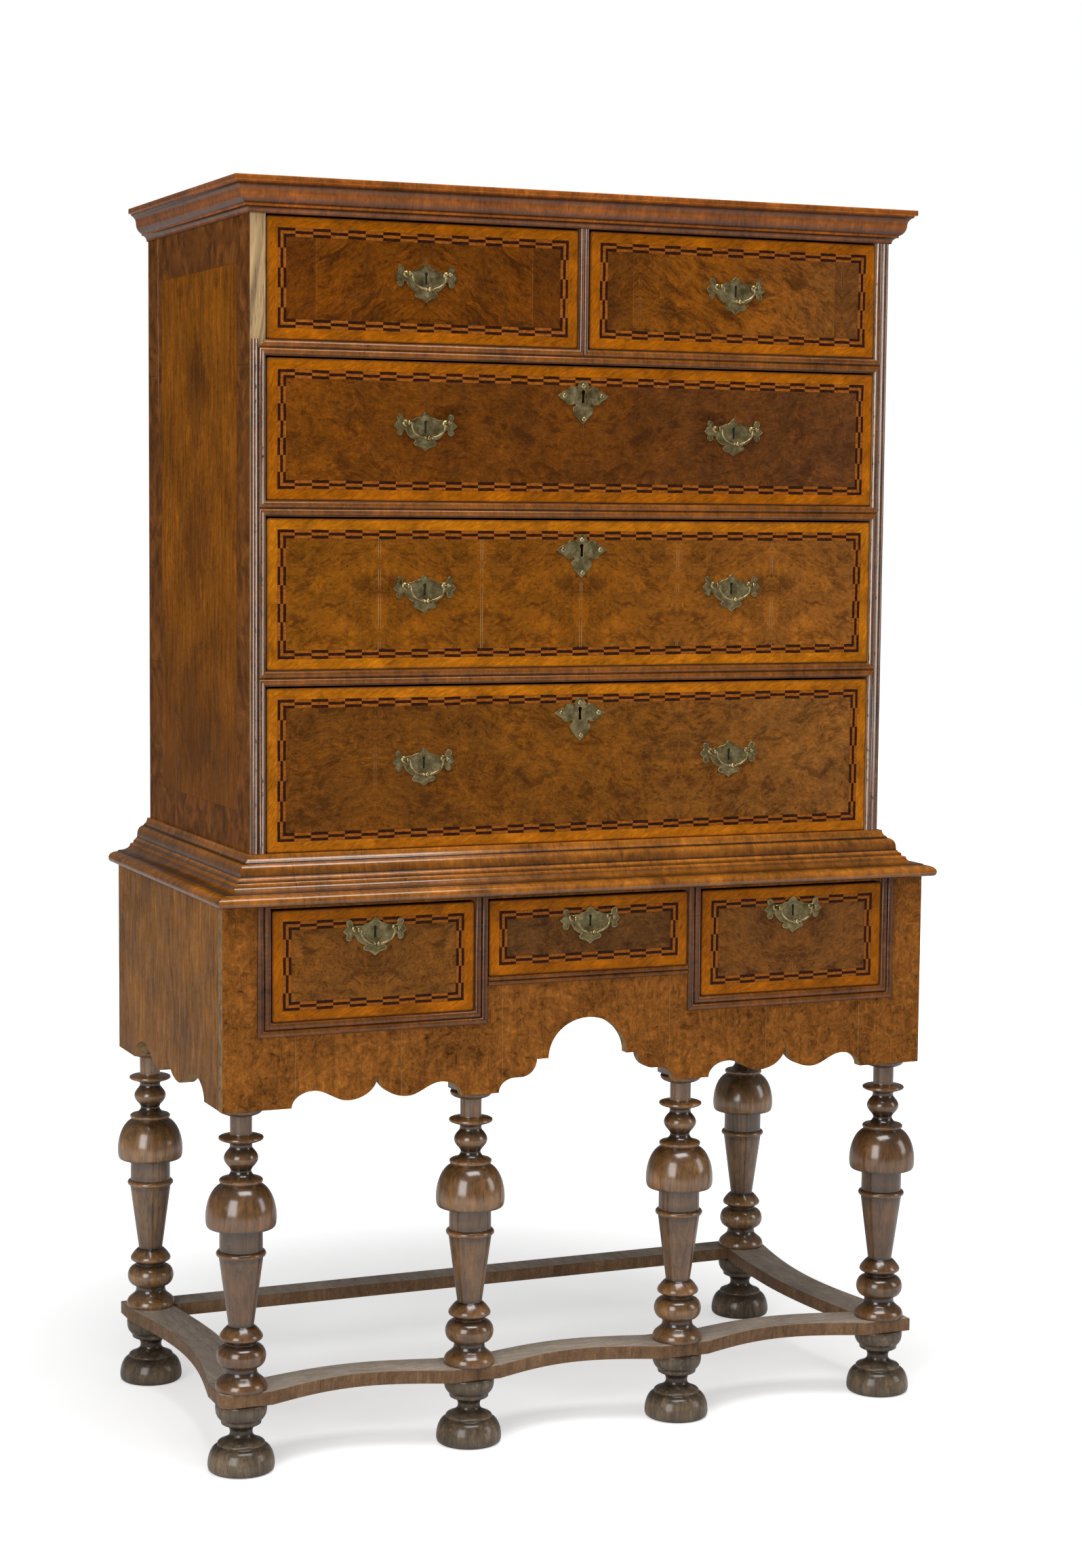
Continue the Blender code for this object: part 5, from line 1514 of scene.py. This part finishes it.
@dataclass
class Underframe:
    """The six turned legs, the six feet and the flat stretcher between them."""

    leg_in_x: float = 0.035
    leg_in_front: float = 0.035
    leg_in_back: float = 0.0335
    inner_leg_x: float = 0.152
    block: float = 0.044
    pad: float = 0.034
    pad_front: float = 0.028
    pad_back: float = 0.033
    bay_front: float = 0.032
    bay_back: float = 0.021
    arm_bay: float = 0.024
    arm: float = 0.054
    back_arm: float = 0.044

    NARROWER = 0.006  # how much further out a rear pad's inner edge is than a front one's
    ARM_START = 0.010  # from the start of an arm's bay to the point before it, on the pad's side
    ROUNDING = 0.0016  # of the stretcher's edges
    CHAMFER = (0.011, 0.009)  # the corner that is cut off the left front pad

    def build(self) -> None:
        """Build and dress the legs, feet and stretcher."""
        self.legs()
        self.feet()
        self.stretcher()

    def places(self) -> dict[str, tuple[float, float]]:
        """The axis of each leg."""
        x = PLAN.stand_x - self.leg_in_x
        front, back = PLAN.stand_front_y + self.leg_in_front, PLAN.stand_back_y - self.leg_in_back
        return {
            "front_left": (-x, front),
            "front_inner_left": (-self.inner_leg_x, front),
            "front_inner_right": (self.inner_leg_x, front),
            "front_right": (x, front),
            "rear_left": (-x, back),
            "rear_right": (x, back),
        }

    def leg_profile(self) -> Points:
        """(radius, height) from the apron down to the stretcher."""
        top, foot = PLAN.apron_z - FIT, PLAN.leg_z + FIT
        down = tenths(
            (268, 0), (274, 12), (274, 30), (262, 52), (236, 72), (200, 86), (150, 96), (142, 104),
            (140, 330), (144, 342), (200, 352), (262, 362), (282, 372), (288, 386), (286, 398), (274, 410),
            (240, 424), (190, 438), (154, 454), (142, 474), (144, 500),
        )
        down += [(0.0148 + 0.0072 * math.sin(math.pi * i / 12), 0.0520 + 0.0250 * i / 12) for i in range(13)]
        down += tenths(
            (140, 786), (133, 800), (132, 816), (140, 840), (158, 866), (182, 886), (222, 896), (260, 906),
            (276, 920), (279, 938), (274, 954), (260, 966), (256, 974),
        )
        down += [(0.0200 + u, v) for u, v in arc(0.0, 0.1410, 0.0252, 0.0440, -76, 0, 14)]
        down += tenths(
            (451, 1440), (446, 1490), (436, 1518), (424, 1532), (400, 1534), (278, 1534), (275, 1538),
            (275, 1828), (282, 1834), (300, 1842), (314, 1858), (319, 1876), (314, 1894), (300, 1908),
            (284, 1916), (281, 1930), (278, 1952),
        )
        profile = [(radius, top - away) for radius, away in down]
        up = tenths(
            (164, 836), (164, 824), (176, 816), (200, 796), (228, 766), (258, 726), (274, 700), (279, 676),
            (272, 656), (250, 640), (216, 624), (202, 606), (202, 588),
        )
        up += arc(0.0212, 0.0430, 0.0107, 0.0140, 75, -75, 10)
        up += tenths(
            (205, 272), (202, 250), (204, 226), (214, 192), (244, 160), (276, 134), (306, 108), (324, 82),
            (335, 50), (338, 22), (334, 0),
        )
        return profile + [(radius, foot + above) for radius, above in up]

    def foot_profile(self) -> Points:
        """(radius, height) from the stretcher down to the floor."""
        top = PLAN.stretcher_z - FIT
        down = tenths(
            (322, 0), (330, 10), (332, 40), (330, 90), (322, 135), (306, 170), (285, 198), (270, 210),
            (264, 216), (260, 240), (256, 262), (240, 272), (206, 284), (178, 300), (158, 325), (148, 350),
            (145, 385), (152, 415), (172, 440), (205, 464), (240, 482), (268, 494), (292, 504), (304, 516),
            (306, 530), (302, 542),
        )
        profile = [(radius, top - away) for radius, away in down]
        profile += arc(0.0300, 0.0070, 0.0130, 0.0255, 84, 0, 12)
        return profile + [(0.0427, 0.0045), (0.0418, 0.0020), (0.0400, 0.0005), (0.0385, 0.0)]

    @staticmethod
    def tint_of(place: str) -> Triple:
        """Colour of a leg, the outer ones at the front being the darkest."""
        if place.startswith("rear"):
            return (118, 86, 52)
        return (110, 77, 44) if "inner" in place else (96, 65, 35)

    def legs(self) -> None:
        """The legs, each with its corner block behind the boards of the stand."""
        first = self.places()["front_left"]
        turning = Bench.turn("leg_turning", self.leg_profile(), first, 64)
        # Painted shade in the leg's grooves, partly grime, and painted highlights on its swells, by height
        shades = shaded(
            PLAN.leg_z, (0, 40), (60, 58), (180, 40), (245, 26), (300, 42), (430, 62), (560, 40), (600, 24),
            (640, 44), (690, 62), (780, 50), (826, 26), (870, 46), (1500, 52), (1660, 46), (1700, 34),
            (1764, 64), (1812, 36), (1900, 46), (2080, 36), (2102, 24), (2140, 60), (2230, 62), (2500, 50),
            (2650, 36), (2702, 60), (2760, 34), (2840, 26), (2990, 58), (3130, 28), (3254, 60), (3640, 46),
        )
        behind_side = PLAN.stand_x - PLAN.STAND_BOARD - FIT - self.block / 2
        behind_front = PLAN.stand_front_y + PLAN.STAND_BOARD + FIT
        before_back = PLAN.stand_back_y - PLAN.STAND_BACK - FIT
        half, block_top = self.block / 2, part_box("leg_front_left")[1].z
        for i, (place, (x, y)) in enumerate(self.places().items()):
            wood = TurnedWood(f"turned oak {place}", self.tint_of(place), shades, 3.0 * i).make()
            spindle = Bench.copy(turning, f"spindle_{place}", (x - first[0], y - first[1], 0.0))
            middle = x if "inner" in place else math.copysign(behind_side, x)
            face = behind_front if y < 0 else before_back - self.block
            low = (middle - half, face, PLAN.apron_z - FIT)
            block = Bench.block("block", low, (middle + half, face + self.block, block_top))
            leg = Bench.join(f"turned_leg_{place}", [spindle, block])
            Bench.smooth(leg, Sharp.TURNING)
            dress(leg, "carcase", (wood,), (f"leg_{place}",))
        bpy.data.objects.remove(turning, do_unlink=True)

    def feet(self) -> None:
        """The feet under the stretcher."""
        first = self.places()["front_left"]
        turning = Bench.turn("foot_turning", self.foot_profile(), first, 64)
        # Painted shade in the foot's grooves, partly grime, and painted highlights on its swells, by height
        painted_shading = shaded(
            0.0, (0, 34), (40, 50), (200, 62), (330, 40), (360, 60), (440, 34), (520, 40), (600, 30),
            (640, 52), (700, 44), (800, 58),
        )
        painted_shading += ((PLAN.stretcher_z, 0.40),)
        for i, (place, (x, y)) in enumerate(self.places().items()):
            wood = TurnedWood(f"foot oak {place}", (90, 76, 60), painted_shading, 50.0 + 4.0 * i, 0.38, 0.3).make()
            foot = Bench.copy(turning, f"turned_foot_{place}", (x - first[0], y - first[1], 0.0))
            Bench.smooth(foot, Sharp.TURNING)
            dress(foot, "carcase", (wood,), (f"foot_{place}",))
        bpy.data.objects.remove(turning, do_unlink=True)

    @staticmethod
    def bay(start: float, end: float, y: float, depth: float, count: int = 24) -> Points:
        """A bowed edge between two pads along x, without its ends."""
        shares = [i / count for i in range(1, count)]
        return [(start + (end - start) * share, y + depth * math.sin(math.pi * share)) for share in shares]

    def stretcher(self) -> None:
        """The front board with its three bays, and the two arms with the back board."""
        places = self.places()
        xs = sorted({x for x, y in places.values() if y < 0})
        leg_y = places["front_left"][1]
        front, back = leg_y - self.pad_front, leg_y + self.pad_back
        outline: Points = []
        for i, x in enumerate(xs):
            outline += [(x - self.pad, front), (x + self.pad, front)]
            if i < len(xs) - 1:
                outline += self.bay(x + self.pad, xs[i + 1] - self.pad, front, self.bay_front)
        for i, x in reversed(list(enumerate(xs))):
            outline += [(x + self.pad, back), (x - self.pad, back)]
            if i:
                outline += self.bay(x - self.pad, xs[i - 1] + self.pad, back, self.bay_back)
        corner_x, corner_y = outline[0]
        off_x, off_y = self.CHAMFER
        outline[0] = (corner_x, corner_y + off_y)
        outline.insert(1, (corner_x + off_x, front))
        rear_y = places["rear_left"][1]
        leg_x = abs(places["rear_left"][0])
        rear_back, outer, inner = rear_y + self.pad_back, leg_x + self.pad, leg_x - self.pad + self.NARROWER
        back_in = rear_back - self.back_arm
        shares = [i / 24 for i in range(25)]
        arm = [(back + FIT + (back_in - back - FIT) * share, math.sin(math.pi * share)) for share in shares]
        right = [(outer, rear_back), (outer, back_in + self.ARM_START)]
        right += [(outer - self.arm_bay * swell, y) for y, swell in reversed(arm)]
        deep = self.arm - (outer - inner) + self.arm_bay
        right += [(inner - deep * swell, y) for y, swell in arm]
        middle = (PLAN.stretcher_z + PLAN.leg_z) / 2
        thickness = PLAN.leg_z - PLAN.stretcher_z
        runs = (("front", outline, Grain.X), ("rear", right + flipped(right), Grain.Y))
        for tag, edge, grain in runs:
            board = Bench.sawn(f"stretcher_board_{tag}", [edge], thickness, self.ROUNDING, 2)
            Bench.place(board, (0.0, 0.0, middle))
            side = Veneer(f"stretcher edge {tag}", (116, 89, 66), Grain.Z, 0.4, 21.0, (), 0.8).make()
            # The top face's pale grey is partly worn finish and partly a painted sheen of the studio
            face = Veneer(f"stretcher face {tag}", (158, 144, 130), grain, 0.35, 24.0, (), 0.6).make()
            Bench.paint(board, 1, lambda _, normal: normal.z > 0.8)
            dress(board, "carcase", (side, face), (f"stretcher_{tag}",))


@dataclass
class Drawer:
    """One drawer: veneered front, oak sides, back and bottom."""

    burr: BurrFront
    keyed: bool = False

    FRONT = 0.022
    LINING = 0.009
    BOTTOM = 0.007
    DROP = 0.006  # the sides below the top of the front
    REAR_DROP = 0.003  # the back below the sides
    RISE = 0.0004  # the bottom above the foot of the sides
    SEAM = 0.0001  # between the sides and the boards between them
    CORNER = 0.0030
    RIM = 0.0012
    BEHIND_RIM = 0.0013  # what lies further back is the edge of the front
    KEY_PLAY = 0.0009  # the hole in the wood round the hole in the brass
    KEY_TOOL = 0.026  # twice the depth of the hole in the wood
    KEY_BELOW = 0.0375  # keyhole below the top of the front

    def build(self) -> None:
        """Build and dress the drawer."""
        node = self.burr.node
        low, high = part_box(node)
        front = self.front(f"front_{node}", low.y)
        burr = self.burr.make()
        walnut = Veneer(f"edge {node}", (96, 60, 28), Grain.X, 0.1, self.burr.seed).make()
        Bench.paint(front, 1, lambda at, normal: normal.y > -0.4 and at.y > low.y + self.BEHIND_RIM)
        dress(front, node, (burr, walnut), (node,))
        self.box(node, low, high)

    def front(self, name: str, y: float) -> Piece:
        """The front board: rounded corners and rim, cut for a key where it has a lock."""
        face = self.burr.face
        (x, z), (width, height) = face.middle, face.size
        bpy.ops.mesh.primitive_cube_add(size=1.0, location=(x, y + self.FRONT / 2, z))
        piece = Bench.named(name, (width, self.FRONT, height))
        bpy.ops.object.mode_set(mode="EDIT")
        bpy.ops.mesh.select_mode(type="EDGE")
        self.pick_edges(piece, lambda edge: abs(edge.verts[0].co.y - edge.verts[1].co.y) > self.FRONT / 2)
        bpy.ops.mesh.bevel(offset=self.CORNER, segments=5, affect="EDGES")
        self.pick_edges(piece, lambda edge: all(vert.co.y < y + 1e-6 for vert in edge.verts))
        bpy.ops.mesh.bevel(offset=self.RIM, segments=3, affect="EDGES")
        Bench.outward()
        if self.keyed:
            hole = shifted(keyhole_outline(self.KEY_PLAY), x, face.z1 - self.KEY_BELOW)
            Bench.cut(piece, Bench.stand_up(Bench.sawn("key tool", [hole], self.KEY_TOOL, 0.0002), y))
        return Bench.smooth(piece, Sharp.FRONT)

    @staticmethod
    def pick_edges(piece: Piece, test: Callable[[bmesh.types.BMEdge], bool]) -> None:
        """Select the edges that pass a test, in edit mode."""
        bpy.ops.mesh.select_all(action="DESELECT")
        mesh = bmesh.from_edit_mesh(piece.data)
        for edge in mesh.edges:
            if test(edge):
                edge.select_set(True)
        bmesh.update_edit_mesh(piece.data)

    def box(self, node: str, low: Vector, high: Vector) -> None:
        """The sides, back and bottom behind the front."""
        inside, back, top = low.y + self.FRONT, high.y, high.z - self.DROP
        side_oak = OakBoard(f"drawer sides {node}", (152, 116, 74), Grain.Y).make()
        back_oak = OakBoard(f"drawer back {node}", (146, 112, 72), Grain.X).make()
        pieces = []
        for x0 in (low.x, high.x - self.LINING):
            pieces.append(Bench.block("side", (x0, inside, low.z), (x0 + self.LINING, back, top)))
        dress(Bench.join(f"sides_{node}", pieces), node, (side_oak,))
        x0, x1 = low.x + self.LINING + self.SEAM, high.x - self.LINING - self.SEAM
        y = back - self.LINING
        rear = Bench.block("rear", (x0, y, low.z), (x1, back - SHY, top - self.REAR_DROP))
        bottom = Bench.block("bottom", (x0, inside, low.z + self.RISE), (x1, y, low.z + self.BOTTOM))
        dress(Bench.join(f"bottom_{node}", [rear, bottom]), node, (back_oak,))


def keyhole_outline(grow: float = 0.0) -> Points:
    """A keyhole about the middle of its shank: a round head over a slot that widens downward."""
    half, foot, head = 0.00275 + grow, -0.0096 - grow, 0.0045
    outline = [(half * 0.75, foot), (half * 0.62, 0.0)]
    outline += arc(0.0, head, half, half, -20, 200, 14)
    return outline + [(-half * 0.62, 0.0), (-half * 0.75, foot)]


@dataclass
class Brasses:
    """The back plates with their posts, the bails and the escutcheons."""

    plate_t: float = 0.0015
    post_x: float = 0.0270
    post_z: float = 0.0095
    post_out: float = 0.0105
    bail_x: float = 0.0224
    bail_drop: float = 0.0190
    wire: float = 0.00125

    PLATE_UP = 0.0245  # from a plate's middle to its top
    SHIELD_UP = 0.0198  # from an escutcheon's keyhole to its top
    SLOT_UP = 0.0062  # from a plate's middle to the middle of its key slot
    BORDER = 0.0015  # width of a plate's raised border
    FIELD_TOOL = 0.0012  # twice the depth of the field inside it
    SLOT_TOOL = 0.0022  # twice the depth of the key slot
    EYE, EYE_WIRE = 0.0027, 0.00090  # radius of a post's eye, and of the metal round it
    EDGE = 0.00045  # rounding of the cast edges

    def build(self) -> None:
        """Build and dress every plate, bail and escutcheon."""
        plate, posts, bail = self.master_plate(), self.master_posts(), self.master_bail()
        shield, pins = self.master_escutcheon(), self.master_pins()
        for i, node in enumerate(sorted(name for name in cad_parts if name.startswith("plate_"))):
            tag = node.split("_", 1)[1]
            body = self.body_of(tag)
            low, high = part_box(node)
            face_y = PLAN.stand_front_y if tag.startswith("stand") else PLAN.front_y
            at = ((low.x + high.x) / 2, face_y, high.z - self.PLATE_UP)
            dull = Brass(f"brass plate {tag}", -0.1, 2.0 * i).make()
            # Near-black painted shade for the floor of the shallow key slot
            dark = OakBoard(f"dark slot {tag}", (16, 11, 6), Grain.Z, 0.2).make()
            rim = Brass(f"brass rim {tag}", 0.85, 2.0 * i + 0.5).make()
            worn = Brass(f"brass bail {tag}", 1.0, 3.0 * i).make()
            dress(Bench.copy(plate, f"back_{tag}", at), body, (dull, dark, rim), (node,))
            dress(Bench.copy(posts, f"posts_{tag}", at), body, (worn,))
            dress(Bench.copy(bail, f"swing_{tag}", at), f"bail_{tag}", (worn,), (f"bail_{tag}",))
        for i, tag in enumerate(("upper", "middle", "lower")):
            low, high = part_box(f"escutcheon_{tag}")
            at = ((low.x + high.x) / 2, PLAN.front_y, high.z - self.SHIELD_UP)
            dull = Brass(f"escutcheon brass {tag}", 0.25, 40.0 + i).make()
            bright = Brass(f"pin brass {tag}", 0.7, 50.0 + i).make()
            body = f"drawer_{tag}"
            dress(Bench.copy(shield, f"shield_{tag}", at), body, (dull,), (f"escutcheon_{tag}",))
            dress(Bench.copy(pins, f"pins_{tag}", at), body, (bright,))
        for master in (plate, posts, bail, shield, pins):
            bpy.data.objects.remove(master, do_unlink=True)

    @staticmethod
    def body_of(tag: str) -> str:
        """The drawer that a plate sits on."""
        first, second = tag.split("_")
        if first == "short":
            return f"drawer_short_{second}"
        return f"stand_drawer_{second}" if first == "stand" else f"drawer_{first}"

    def plate_outline(self) -> Points:
        """Bat-wing outline about the middle of a plate."""
        right = tenths(
            (0, 245), (12, 232), (30, 221), (46, 206), (58, 188), (72, 177), (92, 168), (112, 166),
            (134, 160), (152, 146), (182, 140), (214, 138), (246, 131), (274, 126), (294, 134),
        )
        right += arc(0.0345, 0.0168, 0.0043, 0.0044, 175, -40, 10)
        right += tenths(
            (372, 126), (386, 118), (402, 100), (420, 80), (433, 64), (420, 50), (402, 34), (388, 26),
            (382, 16),
        )
        right += arc(0.0345, -0.0018, 0.0045, 0.0044, 45, -160, 10)
        right += tenths(
            (304, 0), (292, 12), (274, 10), (262, -12), (250, -40), (230, -64), (204, -84), (174, -102),
            (144, -113), (112, -120),
        )
        right += arc(0.0118, -0.0158, 0.0040, 0.0036, 75, -85, 8)
        right += tenths((104, -198), (86, -202), (66, -208), (46, -221), (24, -238), (0, -260))
        return mirrored(right)

    def master_plate(self) -> Piece:
        """A back plate about the origin, its back just in front of y = 0."""
        outline, face_y = self.plate_outline(), -FIT - self.plate_t
        body = Bench.sawn("plate", [outline], self.plate_t, self.EDGE, 2)
        Bench.stand_up(body, -FIT - self.plate_t / 2)
        field = Bench.sawn("field", [drawn_in(outline, self.BORDER)], self.FIELD_TOOL, 0.0001)
        Bench.cut(body, Bench.stand_up(field, face_y))
        Bench.paint(body, 2, lambda at, _: at.y < face_y + 0.0002)
        hole = shifted(keyhole_outline(-0.0007), 0.0, self.SLOT_UP)
        slot = Bench.sawn("slot", [hole], self.SLOT_TOOL, 0.0001)
        Bench.cut(body, Bench.stand_up(slot, face_y))
        # Where the slot's floor gets the near-black painted shade
        floor = Rect(-0.0022, 0.0022, -0.0030, 0.0130)
        floor_y = face_y + 0.0008
        Bench.paint(body, 1, lambda at, _: floor.holds(at) and at.y > floor_y)
        return Bench.smooth(body, Sharp.PLATE)

    def master_posts(self) -> Piece:
        """The two posts of a plate: a collar, a shank and an eye each."""
        collar = tenths((40, 0), (42, 4), (38, 9), (26, 12), (21, 18), (20, 50), (24, 60), (30, 66))
        pieces = []
        for side in Side:
            x, y0 = side.value * self.post_x, -FIT - self.plate_t
            pieces.append(Bench.place(Bench.turn("shank", collar, (0.0, 0.0)), (x, y0, self.post_z), UPRIGHT))
            bpy.ops.mesh.primitive_torus_add(
                location=(x, y0 - self.post_out, self.post_z),
                rotation=(0.0, math.pi / 2, 0.0),
                major_radius=self.EYE,
                minor_radius=self.EYE_WIRE,
                major_segments=28,
                minor_segments=10,
            )
            pieces.append(Bench.named("eye", (1.0, 1.0, 1.6)))
        return Bench.smooth(Bench.join("posts", pieces), Sharp.CAST)

    def master_bail(self) -> Piece:
        """A bail hanging between its posts: swelling wire, a ball and two shoulders at its lowest point."""
        y, z = -FIT - self.plate_t - self.post_out, self.post_z
        reach = self.post_x + 0.0031
        right = [(reach + 0.0004, 0.0, 0.0017), (reach - 0.0002, 0.0, 0.0018), (reach - 0.0008, 0.0, 0.0014)]
        right += [(self.post_x, 0.0, 0.0013), (self.post_x - 0.0032, 0.0, 0.0013)]
        right += [(self.bail_x + 0.0012, -0.0004, 0.0014)]
        bow = arc(0.0, -0.0040, self.bail_x, self.bail_drop - 0.0040, 8, -76, 16)
        right += [(u, v, self.wire + 0.0005 * (i / 16) ** 1.5) for i, (u, v) in enumerate(bow)]
        low = -self.bail_drop
        right += [(0.0048, low, 0.0023), (0.0038, low, 0.0027), (0.0034, low, 0.0024), (0.0030, low, 0.0016)]
        right += [(0.0026, low, 0.0020), (0.0019, low, 0.0031), (0.0009, low, 0.0037)]
        path = [((u, y, z + v), r) for u, v, r in right]
        path += [((0.0, y, z + low), 0.0039)]
        path += [((-u, y, z + v), r) for u, v, r in reversed(right)]
        return Bench.wire("bail", path)

    def master_escutcheon(self) -> Piece:
        """An escutcheon about its keyhole, its back just in front of y = 0."""
        right = tenths(
            (0, 198), (18, 192), (36, 182), (56, 164), (72, 142), (81, 118), (80, 98), (73, 82), (70, 74),
            (78, 78), (94, 94),
        )
        right += arc(0.0152, 0.0056, 0.0068, 0.0062, 130, 12, 9)
        right += tenths(
            (228, 60), (248, 60), (270, 54), (294, 40), (318, 23), (340, 8), (362, -8), (340, -24),
            (316, -42), (290, -57), (266, -67), (254, -78),
        )
        right += arc(0.0182, -0.0080, 0.0068, 0.0044, -12, -160, 9)
        right += tenths(
            (112, -110), (104, -124), (106, -138), (124, -148), (144, -162), (149, -186), (142, -210),
            (130, -228), (112, -254), (92, -280), (70, -306), (46, -330), (22, -352), (0, -373),
        )
        body = Bench.sawn("shield", [mirrored(right), keyhole_outline()], self.plate_t, self.EDGE, 2)
        return Bench.stand_up(body, -FIT - self.plate_t / 2)

    def master_pins(self) -> Piece:
        """The four domed pins of an escutcheon."""
        dome = tenths((34, 0), (34, 3), (30, 9), (22, 14), (12, 17), (4, 18))
        pieces = []
        for x, z in ((0.0, 0.0123), (-0.0265, -0.0008), (0.0265, -0.0008), (0.0014, -0.0307)):
            at = (x, -FIT - self.plate_t + 0.0003, z)
            pieces.append(Bench.place(Bench.turn("pin", dome, (0.0, 0.0)), at, UPRIGHT))
        return Bench.smooth(Bench.join("pins", pieces), Sharp.CAST)


@dataclass
class Studio:
    """The pale floor, the soft lights and the camera of the photograph."""

    camera_at: Triple = (-1.5612, -3.7106, 1.2288)
    yaw: float = 0.40565
    pitch: float = -0.09429
    roll: float = 0.0092
    lens: float = 44.894
    film: float = 24.0
    grey: float = 0.26  # the studio's walls as light on the chest
    in_polish: float = 0.15  # the same walls in its polish and brass

    def build(self) -> None:
        """Set the studio up round the chest."""
        bpy.context.scene.view_settings.view_transform = "Standard"
        self.floor()
        self.sky()
        self.lamp("key", (-3.1, -2.7, 1.8), 1.9, 2.7, 84.0)
        self.lamp("fill", (3.9, -2.4, 1.9), 1.4, 2.4, 36.0)
        self.lamp("top", (0.0, -1.4, 4.3), 2.6, 1.6, 92.0)
        self.camera()

    def floor(self) -> None:
        """A pale floor that keeps the chest's soft shadow."""
        bpy.ops.mesh.primitive_plane_add(size=24.0, location=(0.0, 0.0, -0.0004))
        piece = Bench.named("studio_floor")
        tree = Tree("pale floor")
        grain = tree.noise(tree.coordinates, 3.0, 3.0)
        colour = tree.ramp(grain, ((0.3, (0.80, 0.80, 0.80, 1.0)), (0.7, (0.82, 0.82, 0.82, 1.0))))
        rays = tree.node("LightPath").outputs
        seen = tree.math("MAXIMUM", rays["Is Camera Ray"], tree.times(rays["Is Glossy Ray"], self.in_polish))
        away = tree.node("VectorMath")
        away.operation = "LENGTH"
        tree.feed(away.inputs[0], tree.coordinates)
        lift = tree.plus(tree.times(tree.over(away.outputs["Value"], 0.5, 1.8), 0.70), 0.50)
        tree.feed(tree.shader.inputs["Emission Strength"], tree.times(seen, lift))
        tree.set(Emission_Color=WHITE, Specular_IOR_Level=0.0)
        piece.data.materials.append(tree.done(colour, 0.9))

    def sky(self) -> None:
        """White behind the chest, a little of it in its polish, plain grey light on it."""
        world = bpy.data.worlds.new("studio")
        bpy.context.scene.world = world
        world.use_nodes = True
        nodes, links = world.node_tree.nodes, world.node_tree.links
        rays = nodes.new("ShaderNodeLightPath")
        lifts = {"Is Camera Ray": 1.0, "Is Transmission Ray": 1.0, "Is Glossy Ray": self.in_polish}
        target = nodes["Background"].inputs["Strength"]
        for ray, lift in reversed(lifts.items()):
            step = nodes.new("ShaderNodeMapRange")
            links.new(rays.outputs[ray], step.inputs["Value"])
            links.new(step.outputs[0], target)
            step.inputs["To Max"].default_value = lift
            target = step.inputs["To Min"]
        target.default_value = self.grey
        nodes["Background"].inputs["Color"].default_value = WHITE

    @staticmethod
    def lamp(name: str, at: Triple, width: float, height: float, power: float) -> None:
        """A soft box aimed at the middle of the chest."""
        data = bpy.data.lights.new(name, "AREA")
        data.shape = "RECTANGLE"
        data.size, data.size_y = width, height
        data.energy = power
        lamp = Bench.linked(name, data)
        aim = Vector((0.0, 0.0, 0.85)) - Vector(at)
        lamp.rotation_euler = aim.to_track_quat("-Z", "Y").to_euler()
        lamp.location = at

    def camera(self) -> None:
        """The camera of the photograph, refitted from the chest's corners."""
        data = bpy.data.cameras.new("camera")
        data.sensor_fit = "VERTICAL"
        data.sensor_height = self.film
        data.lens = self.lens
        camera = Bench.linked("camera", data)
        turn = Matrix.Rotation(-self.yaw, 4, "Z") @ Matrix.Rotation(math.pi / 2 + self.pitch, 4, "X")
        camera.matrix_world = Matrix.Translation(self.camera_at) @ turn @ Matrix.Rotation(self.roll, 4, "Z")
        bpy.context.scene.camera = camera


def drawers() -> list[Drawer]:
    """The eight drawers with their veneers as the photograph shows them."""
    short_left = ((102, 53, 4), (99, 53, 4), (94, 49, 4))
    short_right = ((104, 58, 10), (121, 68, 10), (110, 68, 28))
    upper = ((101, 55, 6), (90, 49, 9), (84, 49, 22))
    middle = ((118, 69, 10), (118, 68, 10), (130, 79, 28))
    lower = ((99, 57, 14), (110, 65, 13), (122, 77, 32))
    return [
        Drawer(BurrFront("drawer_short_left", short_left, 0.262, 1.3, -0.219, 0.064, 1.0, -38.0, 0.26)),
        Drawer(BurrFront("drawer_short_right", short_right, 0.300, 4.1, 0.080, 0.062, 0.9, -30.0, 0.3)),
        Drawer(BurrFront("drawer_upper", upper, 0.430, 9.7), True),
        Drawer(BurrFront("drawer_middle", middle, 0.140, 16.2, -0.140, band=(163, 95, 8), split=0.17), True),
        Drawer(BurrFront("drawer_lower", lower, 0.430, 23.4, 0.145, band=(166, 96, 9)), True),
        Drawer(BurrFront("stand_drawer_left", ((109, 66, 22), (107, 66, 23)), 0.140, 31.8, -0.299)),
        Drawer(BurrFront("stand_drawer_centre", ((88, 55, 23), (89, 56, 24)), 0.286, 37.5, -0.143)),
        Drawer(BurrFront("stand_drawer_right", ((102, 62, 23), (105, 65, 28)), 0.140, 43.9, 0.299)),
    ]


def main() -> None:
    """Build the chest piece by piece, then the studio."""
    logging.basicConfig(level=logging.INFO, format="%(message)s")
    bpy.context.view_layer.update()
    UpperChest().build()
    Stand().build()
    Underframe().build()
    for drawer in drawers():
        drawer.build()
    Brasses().build()
    Studio().build()


if __name__ == "__main__":
    main()
